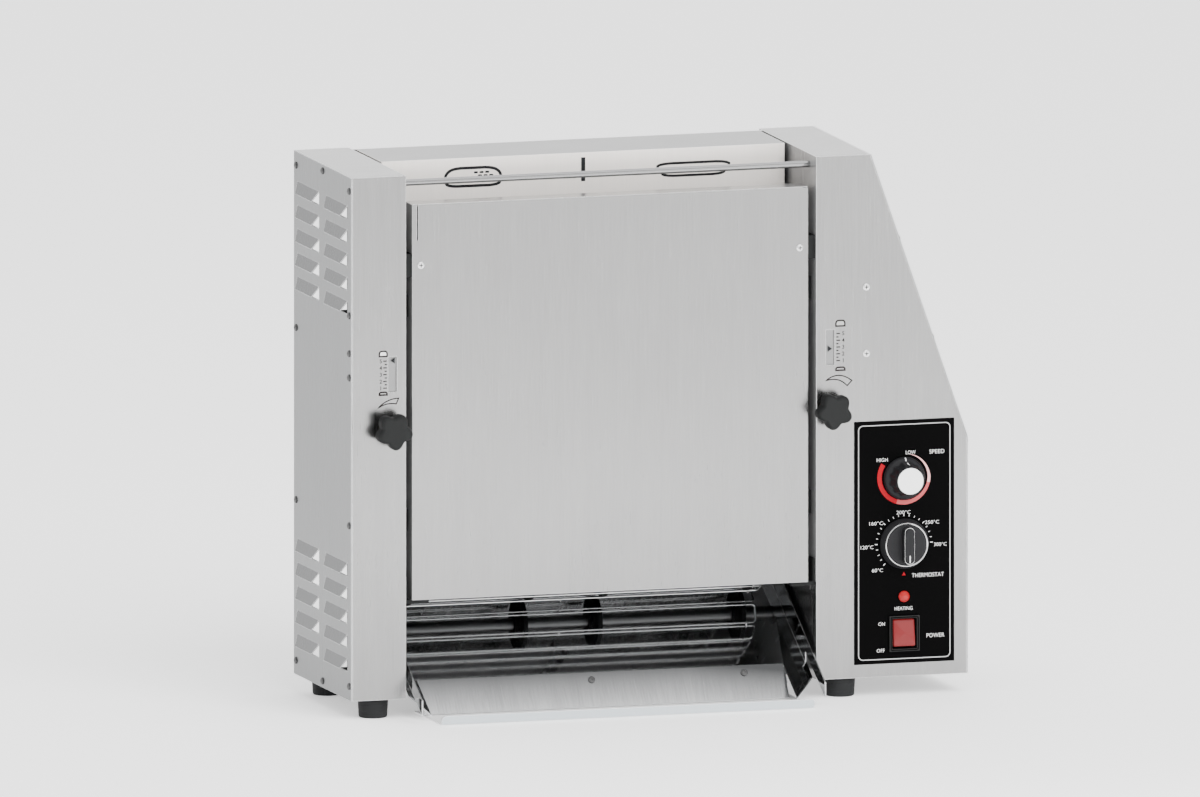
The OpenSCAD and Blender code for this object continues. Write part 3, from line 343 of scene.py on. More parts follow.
# Painted reflection: the tray's steel is given a near-white, barely metallic colour for the bright floor and
# light it mirrors
tray_sheet = brushed("tray_steel", 0.9, 0.96, 0.3, grain=(24, 900, 900), metal=0.15, over=lip_tint)
mirror_sheet = brushed("polished_chute_steel", 0.42, 0.47, 0.06, grain=(900, 14, 14), warm=-0.016,
                       depth=0.006)
wire_steel = turned("drawn_wire_steel", 0.92, 0.97, 0.16)
shaft_steel = turned("turned_shaft_steel", 0.2, 0.23, 0.36)
rod_steel = turned("guard_rod_steel", 0.26, 0.32, 0.16)
dark_steel = turned("dark_machined_steel", 0.05, 0.075, 0.46, metal=0.5)
blackened = moulded("blackened_steel", (0.009, 0.0095, 0.0095), (0.014, 0.0145, 0.0145), 0.7, speck=1200,
                    shine=0.1)
screw_steel = turned("screw_steel", 0.86, 0.95, 0.14, metal=0.7)
dark_screw = turned("dark_screw_steel", 0.07, 0.1, 0.4, metal=0.6)
plate_metal = turned("pressing_plate_aluminium", 0.22, 0.3, 0.4, metal=0.8, speck=500)
slider_sheet = turned("slider_plate_steel", 0.28, 0.33, 0.44)
brass = moulded("bush_brass", (0.42, 0.29, 0.1), (0.52, 0.37, 0.15), 0.32, metal=1.0, strength=0.05)
board = moulded("mineral_board", (0.46, 0.44, 0.4), (0.58, 0.56, 0.51), 0.9, speck=700, strength=0.3)
sheath = turned("heater_sheath", 0.08, 0.13, 0.5)
rubber = moulded("foot_rubber", (0.01, 0.0105, 0.011), (0.016, 0.0165, 0.017), 0.62, speck=1600, shine=0.12)
knob_black = moulded("knob_plastic", (0.009, 0.0095, 0.0095), (0.013, 0.0135, 0.0135), 0.5, speck=2200,
                     shine=0.1)
dial_black = moulded("dial_plastic", (0.008, 0.008, 0.009), (0.013, 0.013, 0.014), 0.5, coat=0.02,
                     strength=0.05, shine=0.14)
film_black = moulded("panel_film", (0.0006, 0.0006, 0.0006), (0.0012, 0.0012, 0.0013), 0.6, speck=3200,
                     strength=0.04, shine=0.03)
cap_white = moulded("cap_white_plastic", (0.8, 0.8, 0.79), (0.9, 0.9, 0.89), 0.34, strength=0.03)
chrome = turned("chrome_trim", 0.72, 0.84, 0.09)
motor_paint = moulded("motor_paint", (0.13, 0.14, 0.15), (0.18, 0.19, 0.2), 0.45, speck=900)
case_green = moulded("controller_case", (0.03, 0.06, 0.045), (0.05, 0.085, 0.06), 0.5)
switch_black = moulded("switch_plastic", (0.008, 0.008, 0.008), (0.014, 0.014, 0.014), 0.4, shine=0.25)
ink_white = printed("ink_white", (0.78, 0.78, 0.78), shine=0.2)
ink_border = printed("ink_border", (0.4, 0.4, 0.4), shine=0.2)
ink_silver = printed("ink_silver", (0.38, 0.38, 0.37))
ink_brown = printed("ink_brown", (0.012, 0.0095, 0.0095), shine=0.1)
dark_ink_and_shade = printed("dark_ink_and_shade", (0.014, 0.015, 0.016), shine=0.15)
ink_red = printed("ink_red", (0.29, 0.001, 0.008), shine=0.1)
ink_pink = printed("ink_pink", (0.42, 0.075, 0.08), shine=0.1)
ink_pale = printed("ink_pale", (0.75, 0.4, 0.39), shine=0.2)
lamp_lens = lit_lens("lamp_lens", (0.22, 0.003, 0.004), (0.3, 0.005, 0.006), 0.09)
rocker_lens = lit_lens("rocker_lens", (0.11, 0.004, 0.005), (0.145, 0.007, 0.008), 0.04)


# Mesh making

# Radius at which a turned section meets its axis
AXIS = 0.01
# Metres within which the points of closed shells are joined and short edges dropped
WELD = 1e-7
SLIVER = 1e-8


def grid(points, wrap_rows=False, wrap_cols=False):
    """Vertices and quads of a grid of points; a wrapped side joins its last row or column to the first."""
    rows, cols = points.shape[:2]
    index = np.arange(rows * cols).reshape(rows, cols)
    if wrap_rows:
        index = np.vstack([index, index[:1]])
    if wrap_cols:
        index = np.hstack([index, index[:, :1]])
    corners = [index[:-1, :-1], index[:-1, 1:], index[1:, 1:], index[1:, :-1]]
    return points.reshape(-1, 3), np.stack(corners, axis=-1).reshape(-1, 4).tolist()


def placed(name, data):
    """A new object for its data, linked into the scene."""
    made = bpy.data.objects.new(name, data)
    bpy.context.scene.collection.objects.link(made)
    return made


def piece(name, shells, finish, body, stands_for=(), closed=True, crease=0.6):
    """One object from several shells of vertices and faces. Closed shells are welded and turned outwards."""
    mesh = bpy.data.meshes.new(name)
    starts = np.cumsum([0] + [len(points) for points, _ in shells])
    faces = [[int(i + start) for i in face] for (_, part), start in zip(shells, starts) for face in part]
    mesh.from_pydata(np.concatenate([points for points, _ in shells]).tolist(), [], faces)
    if closed:
        work = bmesh.new()
        work.from_mesh(mesh)
        bmesh.ops.remove_doubles(work, verts=work.verts, dist=WELD)
        bmesh.ops.dissolve_degenerate(work, edges=work.edges, dist=SLIVER)
        bmesh.ops.recalc_face_normals(work, faces=work.faces)
        work.to_mesh(mesh)
        work.free()
        mesh.shade_smooth()
        mesh.set_sharp_from_angle(angle=crease)
    mesh.update()
    mesh.materials.append(finish.material)
    made = placed(name, mesh)
    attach(made, body)
    if stands_for:
        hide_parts(*stands_for)


def unit(ways):
    """Rows of vectors brought to length 1."""
    return ways / np.linalg.norm(ways, axis=1)[:, None]


def spun(x, z, profile, around=72, lobes=None, tilt=0.0):
    """Profile of (radius, distance in front) turned about the line through x, z that points to the front.
    Where lobes is given, each radius is multiplied by lobes(angle, place along the profile)."""
    profile = np.array(profile, float)
    angle = np.arange(around) * TURN / around + tilt
    radius = np.repeat(profile[:, :1], around, axis=1)
    if lobes is not None:
        radius = radius * lobes(angle[None, :] - tilt, np.linspace(0, 1, len(profile))[:, None])
    points = metres(x + radius * np.cos(angle), -profile[:, 1:], z + radius * np.sin(angle))
    return grid(points, wrap_cols=True)


def rounded(points, radius, steps=5):
    """A profile's inner corners replaced by arcs: each corner point gives a quadratic curve between the two
    points that lie radius away along its sides, or 0.45 of the shorter side."""
    points = np.array(points, float)
    before, here, after = points[:-2], points[1:-1], points[2:]
    shorter = np.minimum(np.linalg.norm(here - before, axis=1), np.linalg.norm(after - here, axis=1))
    reach = np.minimum(radius, shorter * 0.45)[:, None]
    start = here + unit(before - here) * reach
    end = here + unit(after - here) * reach
    t = np.linspace(0, 1, steps)[None, :, None]
    arcs = (1 - t) ** 2 * start[:, None] + 2 * t * (1 - t) * here[:, None] + t ** 2 * end[:, None]
    return np.vstack([points[:1], arcs.reshape(-1, 2), points[-1:]])


def stadium(width, height, corner, count):
    """Rounded rectangle about the middle, counter-clockwise: four quarter circles of radius corner."""
    quarter = np.linspace(0, TURN / 4, count)
    centres = np.array([[1, 1], [-1, 1], [-1, -1], [1, -1]]) * [width / 2 - corner, height / 2 - corner]
    angle = (quarter[None, :] + np.arange(4)[:, None] * TURN / 4)[..., None]
    circles = np.concatenate([np.cos(angle), np.sin(angle)], axis=-1)
    return (centres[:, None] + corner * circles).reshape(-1, 2)


def strip(path, width, plane, closed=False):
    """Flat band along a path of (x, z) points on the plane at that depth: each point is pushed half the width
    to both sides along the path's normal, and joints are mitred by the half-angle."""
    path = np.array(path, float)
    if closed:
        ahead, behind = np.roll(path, -1, axis=0) - path, path - np.roll(path, 1, axis=0)
    else:
        step = np.diff(path, axis=0)
        ahead, behind = np.vstack([step, step[-1:]]), np.vstack([step[:1], step])
    ahead = unit(ahead)
    along = unit(ahead + unit(behind))
    stretch = 1 / np.maximum(np.sum(along * ahead, axis=1), 0.5)
    side = np.stack([-along[:, 1], along[:, 0]], axis=1) * (width * stretch / 2)[:, None]
    edges = np.stack([path + side, path - side], axis=1)
    points, faces = grid(metres(edges[..., 0], plane, edges[..., 1]), wrap_rows=closed)
    return points, [face[::-1] for face in faces]


def patch(outline, plane):
    """One flat face inside an outline of (x, z) points, counter-clockwise as seen from the front."""
    outline = np.array(outline, float)
    return metres(outline[:, 0], plane, outline[:, 1]), [list(range(len(outline)))]


def words(text, x, z, height, plane, width=None, bold=0.0):
    """Flat letters centred on x, z: the font's outlines, swollen by bold, as a mesh scaled to a height and,
    if given, a width."""
    curve = bpy.data.curves.new("letters", "FONT")
    curve.body = text
    curve.resolution_u = 3
    curve.offset = bold
    holder = placed("letters", curve)
    flat = bpy.data.meshes.new_from_object(holder.evaluated_get(bpy.context.evaluated_depsgraph_get()))
    spots = np.empty(len(flat.vertices) * 3, np.float32)
    flat.vertices.foreach_get("co", spots)
    spots = spots.reshape(-1, 3)[:, :2].astype(float)
    faces = [list(face.vertices) for face in flat.polygons]
    low, high = spots.min(axis=0), spots.max(axis=0)
    tall = height / (high[1] - low[1])
    wide = tall if width is None else width / (high[0] - low[0])
    spots = (spots - (low + high) / 2) * [wide, tall]
    bpy.data.objects.remove(holder)
    bpy.data.curves.remove(curve)
    bpy.data.meshes.remove(flat)
    return metres(x + spots[:, 0], plane, z + spots[:, 1]), faces


# Camera, light and floor, in metres

PHOTO_WIDTH = 1200
PIXELS_PER_MM = 1.112
VIEW_CENTRE = metres(252.5, 60.0, 255.5)
CAMERA_AWAY = 4.0
BACK_GLOW = 2.5
FLOOR_REACH = 7.0
FLOOR_LINES = 15


def photo_camera():
    """Camera with parallel rays at the photograph's angle; right, up and back are its own axes."""
    right = Vector((0.956, -0.2932, 0.0))
    up = Vector((0.0444, 0.1449, 0.9884))
    back = Vector((-0.2898, -0.9449, 0.1516))
    lens = bpy.data.cameras.new("photo_camera")
    lens.type = "ORTHO"
    lens.ortho_scale = PHOTO_WIDTH / PIXELS_PER_MM * MM
    lens.clip_end = 60
    camera = placed("photo_camera", lens)
    camera.matrix_world = (Matrix.Translation(Vector(VIEW_CENTRE) + back * CAMERA_AWAY)
                           @ Matrix((right, up, back)).transposed().to_4x4())
    bpy.context.scene.camera = camera


def white_surround():
    """White world whose strength grows by a smooth step towards the back."""
    world = bpy.data.worlds.new("white_surround")
    bpy.context.scene.world = world
    world.use_nodes = True
    tree = world.node_tree
    way = tree.nodes.new("ShaderNodeTexCoord")
    parts = tree.nodes.new("ShaderNodeSeparateXYZ")
    behind = tree.nodes.new("ShaderNodeMapRange")
    behind.interpolation_type = "SMOOTHSTEP"
    for key, value in (("From Min", 0.25), ("From Max", 0.9), ("To Min", 1.0), ("To Max", BACK_GLOW)):
        behind.inputs[key].default_value = value
    tree.links.new(way.outputs["Generated"], parts.inputs[0])
    tree.links.new(parts.outputs["Y"], behind.inputs["Value"])
    tree.links.new(behind.outputs[0], tree.nodes["Background"].inputs["Strength"])
    tree.nodes["Background"].inputs["Color"].default_value = grey(1.0)


def soft_lights():
    """Four soft area lights and a broad sun from the front; the low light and the sun stay out of mirrors."""
    middle, mouth = Vector((0.0, 0.0, 0.25)), Vector((0.0, 0.02, 0.09))

    def aimed(way):
        """Turn that points a light along a way."""
        return way.to_track_quat("-Z", "Y").to_euler()

    for name, spot, target, size, power, mirrored in (
            ("overhead_softbox", (0.1, -0.4, 2.6), middle, (2.6, 2.6), 40, True),
            ("front_softbox", (1.6, -2.6, 1.2), middle, (2.0, 2.0), 26, True),
            ("left_softbox", (-2.6, -0.6, 1.0), middle, (1.6, 1.6), 8, True),
            ("low_front_softbox", (0.1, -1.3, 0.14), mouth, (1.2, 0.2), 12, False)):
        light = bpy.data.lights.new(name, "AREA")
        light.shape = "RECTANGLE"
        light.size, light.size_y = size
        light.energy = power
        lamp = placed(name, light)
        lamp.location = spot
        lamp.rotation_euler = aimed(target - Vector(spot))
        lamp.visible_camera = False
        lamp.visible_glossy = mirrored

    fill = bpy.data.lights.new("front_fill", "SUN")
    fill.energy = 3.4
    fill.angle = np.radians(40)
    lamp = placed("front_fill", fill)
    lamp.rotation_euler = aimed(Vector((-0.2, 0.75, -0.7)))
    lamp.visible_glossy = False


def paper_floor():
    """Pale paper floor with a faint glow of its own, so that it nears the photograph's white."""
    span = np.linspace(-FLOOR_REACH, FLOOR_REACH, FLOOR_LINES)
    across, along = np.meshgrid(span, span)
    points, faces = grid(np.stack([across, along, np.zeros_like(across)], axis=-1))
    mesh = bpy.data.meshes.new("studio_floor")
    mesh.from_pydata(points.tolist(), [], faces)
    made = Finish("floor_paper", Roughness=0.85, Emission_Strength=0.55, Emission_Color=grey(1.0))
    made.set(Base_Color=made.blend(made.noise((300, 300, 300), 2.0, 0.5), grey(0.92), grey(0.95)))
    mesh.materials.append(made.material)
    floor = placed("studio_floor", mesh)


# Knobs, lamp, rocker, bezel and feet

RIGHT_X = edge_of("right_housing", X, LOW)
KNOB_X = {"left": LEFT_WIDTH - 16.2, "right": RIGHT_X + 11.6}
KNOB_Z = 246.5
DIAL_X = float(mid("heating_lamp")[X])
SPEED_Z = float(mid("speed_knob")[Z])
THERMOSTAT_Z = float(mid("thermostat_knob")[Z])
LAMP_Z = float(mid("heating_lamp")[Z])
SWITCH_Z = float(mid("switch_body")[Z])
ROCKER_PIVOT = 4.0
ROCKER_TILT = np.radians(8.0)
FOOT_R = 14.0
FOOT_SPREAD = 70.4


def star_knob(side, lobe_at):
    """Five-lobed grip: the radius times 0.76 + 0.24 w, where w = ((1 + cos 5a) / 2) ** 0.8, carried along a
    section with a rounded rim and a faintly dished face, on a plain neck."""
    front = -edge_of(side + "_knob", Y, LOW)
    back, grip_r, neck_r = 9.0, 16.95, 7.9

    def lobes(angle, _):
        return 0.76 + 0.24 * ((1 + np.cos(5 * angle)) / 2) ** 0.8

    section = [(AXIS, back), (grip_r - 2.45, back), (grip_r, back + 1.6), (grip_r, front - 3.4),
               (grip_r - 2.35, front - 0.05), (AXIS, front - 0.4)]
    grip = spun(KNOB_X[side], KNOB_Z, rounded(section, 2.6, 6), 180, lobes, np.radians(lobe_at))
    section = [(AXIS, 1.4), (neck_r, 1.4), (neck_r, back - 0.6), (neck_r + 0.7, back + 0.4),
               (AXIS, back + 0.4)]
    neck = spun(KNOB_X[side], KNOB_Z, rounded(section, 0.8), 48)
    piece(side + "_star_grip", [grip, neck], knob_black, side + "_adjuster", [side + "_knob"])


def speed_dial():
    """Skirted knob: a cone skirt and a fluted barrel, the radius times 1 - 0.085 (1 + cos 12a) / 2 along the
    barrel, under a flat white cap; two short white pointer lines."""
    front = -edge_of("speed_knob", Y, LOW)
    back, skirt_r, cap_r, half_line, ink = 1.2, 19.4, 12.0, 0.45, 0.12

    def flutes(angle, along):
        reach = np.clip((along - 0.45) / 0.1, 0, 1) * np.clip((0.92 - along) / 0.06, 0, 1)
        return 1 - 0.085 * reach * (1 + np.cos(12 * angle)) / 2

    section = [(AXIS, back), (skirt_r, back), (skirt_r, 3.4), (18.4, 5.8), (15.8, 7.4), (14.9, 12.0),
               (13.9, front - 1.6), (cap_r + 0.6, front - 0.5), (AXIS, front - 0.5)]
    body = spun(DIAL_X, SPEED_Z, rounded(section, 1.2, 6), 144, flutes)
    piece("speed_knob_body", [body], dial_black, "speed_dial", ["speed_knob"])
    section = [(AXIS, front - 2), (cap_r, front - 2), (cap_r, front - 0.15), (AXIS, front)]
    cap = spun(DIAL_X, SPEED_Z, rounded(section, 0.5))
    piece("speed_knob_cap", [cap], cap_white, "speed_dial")
    on_skirt = np.array([(18.9, 4.7), (17.9, 6.3), (16.3, 7.4)]) + [ink, ink]
    on_barrel = np.array([(15.1, 11.6), (14.6, 14.4), (14.05, 18.2)]) + [ink, 0.0]
    width = np.array([[-half_line, half_line]])
    marks = [grid(metres(DIAL_X + width, -line[:, 1:], SPEED_Z + line[:, :1]))
             for line in (on_skirt, on_barrel)]
    piece("speed_knob_pointer", marks, ink_white, "speed_dial", closed=False)


def thermostat_dial():
    """Skirted knob with a chrome ring line and a bar grip: the grip's outline is a rounded bar whose sides
    swell by 0.1 cos, lofted forward through seven sections; a chrome bead follows its front edge."""
    front = -edge_of("thermostat_knob", Y, LOW)
    back, skirt_r, bead_r, bead_sides = 1.2, 22.9, 0.42, 8
    skirt = [(AXIS, back), (skirt_r, back), (skirt_r, 3.6), (20.6, 8.6), (19.0, 9.9), (16.5, 10.2),
             (AXIS, 9.6)]
    body = spun(DIAL_X, THERMOSTAT_Z, rounded(skirt, 1.4, 6), 96)
    outline = stadium(9.6, 33.5, 4.2, 9)
    outline[:, 0] *= 1 + 0.1 * np.cos(outline[:, 1] / 17 * TURN / 4)
    # Each section's share of the outline's width and height, and its distance in front
    sections = np.array([(1.06, 1.02, 9.2), (1.0, 1.0, 11.5), (0.95, 0.985, 15.0), (0.9, 0.97, front - 1.4),
                         (0.8, 0.94, front - 0.35), (0.5, 0.85, front - 0.05), (0.01, 0.5, front - 0.25)])
    wide, tall, depth = (sections[:, [k]] for k in range(3))
    loft = metres(DIAL_X + wide * outline[:, 0], -depth, THERMOSTAT_Z + tall * outline[:, 1])
    piece("thermostat_knob_body", [body, grid(loft, wrap_cols=True)], dial_black, "thermostat_dial",
          ["thermostat_knob"], crease=0.9)
    section = [(19.75, 9.0), (19.9, 10.1), (19.3, 10.45), (18.7, 10.1), (18.8, 9.0)]
    ring = spun(DIAL_X, THERMOSTAT_Z, section, 96)
    bead = outline * [0.9, 0.97]
    lean = unit(bead)
    angle = np.arange(bead_sides) * TURN / bead_sides
    out, rise = bead_r * np.cos(angle), bead_r * np.sin(angle)
    tube = metres(DIAL_X + bead[:, :1] + out * lean[:, :1], rise - (front - 1.3),
                  THERMOSTAT_Z + bead[:, 1:] + out * lean[:, 1:])
    piece("thermostat_knob_trim", [ring, grid(tube, True, True)], chrome, "thermostat_dial")
    mark = strip([(DIAL_X, THERMOSTAT_Z - 15.0), (DIAL_X, THERMOSTAT_Z - 8.6)], 0.9, -front - 0.06)
    piece("thermostat_knob_pointer", [mark], ink_white, "thermostat_dial", closed=False)


def heating_lamp():
    """Domed lens on a thin collar: the dome's height is 2.35 (1 - (r / 4.6) ** 2.4)."""
    lens_r, lens_rise = 4.6, 2.35
    radius = np.linspace(lens_r, AXIS, 10)
    dome = np.stack([radius, 2.4 + lens_rise * (1 - (radius / lens_r) ** 2.4)], axis=1)
    collar = [(AXIS, 0.7), (5.1, 0.7), (5.12, 1.7), (4.9, 2.2)]
    lens = spun(DIAL_X, LAMP_Z, np.vstack([collar, dome]), 64)
    piece("heating_lamp_lens", [lens], lamp_lens, "toaster", ["heating_lamp"])


def switch_bezel():
    """Bezel: a rounded step section carried round a rounded rectangle. Each step is its share of the way to
    the inner outline and its distance in front."""
    front = -edge_of("switch_body", Y, LOW)
    outer, inner = stadium(28, 32, 1.6, 5), stadium(23.6, 28.1, 0.8, 5)
    steps = [(0, 0.6), (0, front - 0.7), (0.12, front - 0.2), (0.3, front), (0.82, front), (1, front - 0.5),
             (1, -6)]
    share, depth = np.array(steps).T[..., None]
    rings = outer * (1 - share[..., None]) + inner * share[..., None]
    shell = grid(metres(DIAL_X + rings[..., 0], -depth, SWITCH_Z + rings[..., 1]), wrap_cols=True)
    piece("power_switch_bezel", [shell], switch_black, "toaster")


def rocker_cap():
    """Rocker: a shell whose front is two slopes that meet in a soft ridge, 1.7 (v / 12.4) ** 1.3 behind it at
    the height v, its rim rolled over; the shell is tipped about its pivot."""
    ridge, slope, half, hidden_rim = 3.2, 1.7, 12.4, 2.4
    outline = stadium(20.3, 2 * half, 1.2, 6)
    shrink = np.array([1.0, 1.0, 0.985, 0.95, 0.86, 0.7, 0.5, 0.3, 0.1, 0.005])[:, None]
    roll = np.array([0.0, 0.9, 0.25, 0.0] + [-0.05] * 6)[:, None]
    x, v = shrink * outline[:, 0], shrink * outline[:, 1]
    y = slope * np.abs(v / half) ** 1.3 - (ROCKER_PIVOT + ridge) + roll
    y[0] = hidden_rim
    tipped_y = y * np.cos(ROCKER_TILT) + v * np.sin(ROCKER_TILT)
    tipped_z = v * np.cos(ROCKER_TILT) - y * np.sin(ROCKER_TILT)
    shell = grid(metres(DIAL_X + x, ROCKER_PIVOT + tipped_y, SWITCH_Z + tipped_z), wrap_cols=True)
    piece("power_rocker_cap", [shell], rocker_lens, "rocker", ["power_rocker"], crease=0.8)


def foot_pads():
    """Four rubber feet: a tapered drum with a rolled rim, two shallow grooves and a dished sole."""
    section = [(AXIS, -17.1), (6, -17.1), (7, -17.45), (12.2, -17.45), (13.0, -16.4), (13.25, -11.4),
               (13.0, -11.0), (13.3, -10.6), (13.6, -5.4), (13.35, -5.0), (13.65, -4.6), (13.95, -0.6),
               (13.6, -0.05), (AXIS, -0.05)]
    profile = rounded(section, 0.5, 4)
    radius, height = profile[:, :1], profile[:, 1:]
    angle = np.arange(56) * TURN / 56
    middle = mid("feet")[Y]
    shells = []
    for x in (edge_of("feet", X, LOW) + FOOT_R, edge_of("feet", X, HIGH) - FOOT_R):
        for y in (middle - FOOT_SPREAD, middle + FOOT_SPREAD):
            drum = metres(x + radius * np.cos(angle), y + radius * np.sin(angle), height)
            shells.append(grid(drum, wrap_cols=True))
    piece("rubber_feet", shells, rubber, "toaster", ["feet"])


# Printed marks

INK_RISE = 0.05
# Depths of the print on the control film and on the housings
FILM_PRINT = edge_of("control_overlay", Y, LOW) - INK_RISE
FRONT_PRINT = edge_of("left_housing", Y, LOW) - INK_RISE
PANEL_BOLD = -0.012
SCALE_BOLD = 0.014
BORDER_IN = 4.0
TICK_STEP = 11.25
ARC_RISE = 0.8
WINDOW = {"left": (LEFT_WIDTH - 12.6, KNOB_Z + 49.5), "right": (RIGHT_X + 13.1, KNOB_Z + 55.5)}
SCALE_STEP = 6.15
SCALE_LINE = 1.05
BUN_LINE = 1.45
DIGIT_TALL = 3.6
CRUMB_INK = {"left": ink_white, "right": ink_silver}
SCREW_R = 3.2
RECESS_HALF = 1.9
# Text, x and z of its middle, height and width of each label on the film
LABELS = (
    ("60°C", 494.8, 97.3, 3.3, 10.3),
    ("120°C", 485.0, 118.6, 3.3, 12.0),
    ("160°C", 493.6, 140.0, 3.3, 12.8),
    ("200°C", 519.4, 149.0, 3.3, 13.2),
    ("250°C", 546.2, 139.0, 3.3, 13.0),
    ("300°C", 553.9, 118.6, 3.3, 12.0),
    ("THERMOSTAT", 542.2, 91.2, 3.6, 30.0),
    ("HEATING", 519.4, 61.6, 3.2, 16.8),
    ("LOW", 526.0, 203.3, 3.3, 9.0),
    ("HIGH", 499.3, 197.4, 3.3, 10.2),
    ("SPEED", 550.7, 203.1, 3.6, 14.0),
    ("ON", 498.7, 48.2, 3.2, 6.0),
    ("OFF", 497.9, 24.0, 3.2, 7.4),
    ("POWER", 549.3, 36.0, 3.6, 16.6),
)


def front_corners(node):
    """The lowest and the highest (x, z) of a node."""
    return (np.array([edge_of(node, axis, side) for axis in (X, Z)]) for side in (LOW, HIGH))


def panel_border():
    """Rounded line a little inside the edge of the control film."""
    low, high = front_corners("control_overlay")
    path = stadium(*(high - low - 2 * BORDER_IN), 4.2, 8) + (low + high) / 2
    line = strip(path, 0.8, FILM_PRINT, closed=True)
    piece("panel_border", [line], ink_border, "toaster", closed=False)


def panel_lettering():
    """White print of the control film: the thermostat's ticks, each fourth one longer, names and numbers."""
    centre = np.array([DIAL_X, THERMOSTAT_Z])
    shells = []
    for step in range(21):
        angle = np.radians(225 - TICK_STEP * step)
        way = np.array([np.cos(angle), np.sin(angle)])
        end, line = (26.6, 0.42) if step % 4 else (27.2, 0.62)
        shells.append(strip([centre + way * 24.8, centre + way * end], line, FILM_PRINT))
    for text, x, z, height, width in LABELS:
        shells.append(words(text, x, z, height, FILM_PRINT, width, PANEL_BOLD))
    piece("panel_lettering", shells, ink_white, "toaster", closed=False)


def speed_arc():
    """Tapered arc round the speed dial in three inks: its inner and outer radius are ramps over the angle in
    degrees."""
    start, end = 148, 434
    for name, ink, first, last in (("high", ink_red, start, 253.4), ("middle", ink_pink, 253.4, 347),
                                   ("low", ink_pale, 347, end)):
        degrees = np.linspace(first, last, 28)
        inner = np.interp(degrees, [start, 270, 360, end], [20.6, 21.0, 22.5, 21.2])
        outer = np.interp(degrees, [start, 360, end], [25.0, 25.0, 21.5])
        radius, angle = np.stack([inner, outer], axis=1), np.radians(degrees)[:, None]
        across, up = radius * np.cos(angle), ARC_RISE + radius * np.sin(angle)
        band = grid(metres(DIAL_X + across, FILM_PRINT, SPEED_Z + up))
        piece("speed_arc_" + name, [band], ink, "toaster", closed=False)


def thermostat_index():
    """Red triangle on the film below the thermostat dial, its tip upwards."""
    half, foot, tip = 1.7, 91.6, 94.8
    arrow = patch([(DIAL_X - half, foot), (DIAL_X + half, foot), (DIAL_X, tip)], FILM_PRINT)
    piece("thermostat_index", [arrow], ink_red, "toaster", closed=False)


def eased(corners, rounds):
    """A closed outline with its corners cut: in each round every side keeps its middle half, which nears a
    smooth curve inside the corners."""
    loop = np.array(corners, float)
    for _ in range(rounds):
        ahead = np.roll(loop, -1, axis=0)
        loop = np.stack([0.75 * loop + 0.25 * ahead, 0.25 * loop + 0.75 * ahead], axis=1).reshape(-1, 2)
    return loop


def slice_outline(x, z, wide, tall):
    """Half of a bun seen from the side: a flat foot with square corners, and a top whose corners are quarter
    ellipses as tall as 0.6 of the slice."""
    half, curve_x, curve_z = wide / 2, wide * 0.26, tall * 0.6
    turn = np.linspace(0, TURN / 4, 8)
    across, up = half - curve_x + curve_x * np.cos(turn), tall - curve_z + curve_z * np.sin(turn)
    corner = np.stack([across, up], axis=1)
    return np.vstack([[(-half, 0), (half, 0)], corner, corner[::-1] * [-1, 1]]) + [x, z]


def arc(start, pull, end, count=12):
    """Quadratic curve from start to end, drawn towards pull."""
    t = np.linspace(0, 1, count)[:, None]
    start, pull, end = (np.array(point, float) for point in (start, pull, end))
    return (1 - t) ** 2 * start + 2 * t * (1 - t) * pull + t ** 2 * end


def thickness_scale(side, out, gaps, bun_wide, thick_bun, thin_bun, wedge):
    """Scale beside one window: numbers 1 to 5, ticks at each half, a thick bun above, a thin one below and
    over the knob a curved wedge that grows towards more thickness. Out is the way from the window to the
    scale; a bun is its place above the window's middle and its height."""
    x, middle = WINDOW[side]
    tick_x, number_x, bun_x = (x + out * gap for gap in gaps)
    shells = []
    for half in range(9):
        z = middle + (half / 2 - 2) * SCALE_STEP
        length = 2.0 if half % 2 else 3.5
        shells.append(strip([(tick_x, z), (tick_x + out * length, z)], SCALE_LINE, FRONT_PRINT))
    for number in range(1, 6):
        z = middle + (number - 3) * SCALE_STEP
        shells.append(words(str(number), number_x, z, DIGIT_TALL, FRONT_PRINT, bold=SCALE_BOLD))
    for rise, tall in (thick_bun, thin_bun):
        outline = slice_outline(bun_x, middle + rise, bun_wide, tall)
        shells.append(strip(outline, BUN_LINE, FRONT_PRINT, closed=True))
    tip, top_pull, top_end, low_end, low_pull = wedge
    loop = np.vstack([arc(tip, top_pull, top_end), arc(low_end, low_pull, tip)[:-1]])
    shells.append(strip(loop, SCALE_LINE, FRONT_PRINT, closed=True))
    piece(side + "_thickness_scale", shells, ink_brown, "toaster", closed=False)
    rise, tall = thick_bun
    crumb = slice_outline(bun_x, middle + rise, bun_wide - 1.0, tall - 0.5) + [0, 0.3]
    fill = patch(crumb, FRONT_PRINT + INK_RISE / 2)
    piece(side + "_bun_crumb", [fill], CRUMB_INK[side], "toaster", closed=False)


def scale_pointer(side, out, setting):
    """Black triangle on the slider behind the window, its tip towards the scale at the number that is set."""
    x, middle = WINDOW[side]
    z = middle + (setting - 3) * SCALE_STEP
    corners = [(x + out * 1.8, z), (x - out * 2.2, z + 2.8), (x - out * 2.2, z - 2.8)]
    mark = patch(corners[::out], edge_of(side + "_slider", Y, LOW) - INK_RISE)
    piece(side + "_scale_pointer", [mark], dark_ink_and_shade, side + "_slide", closed=False)


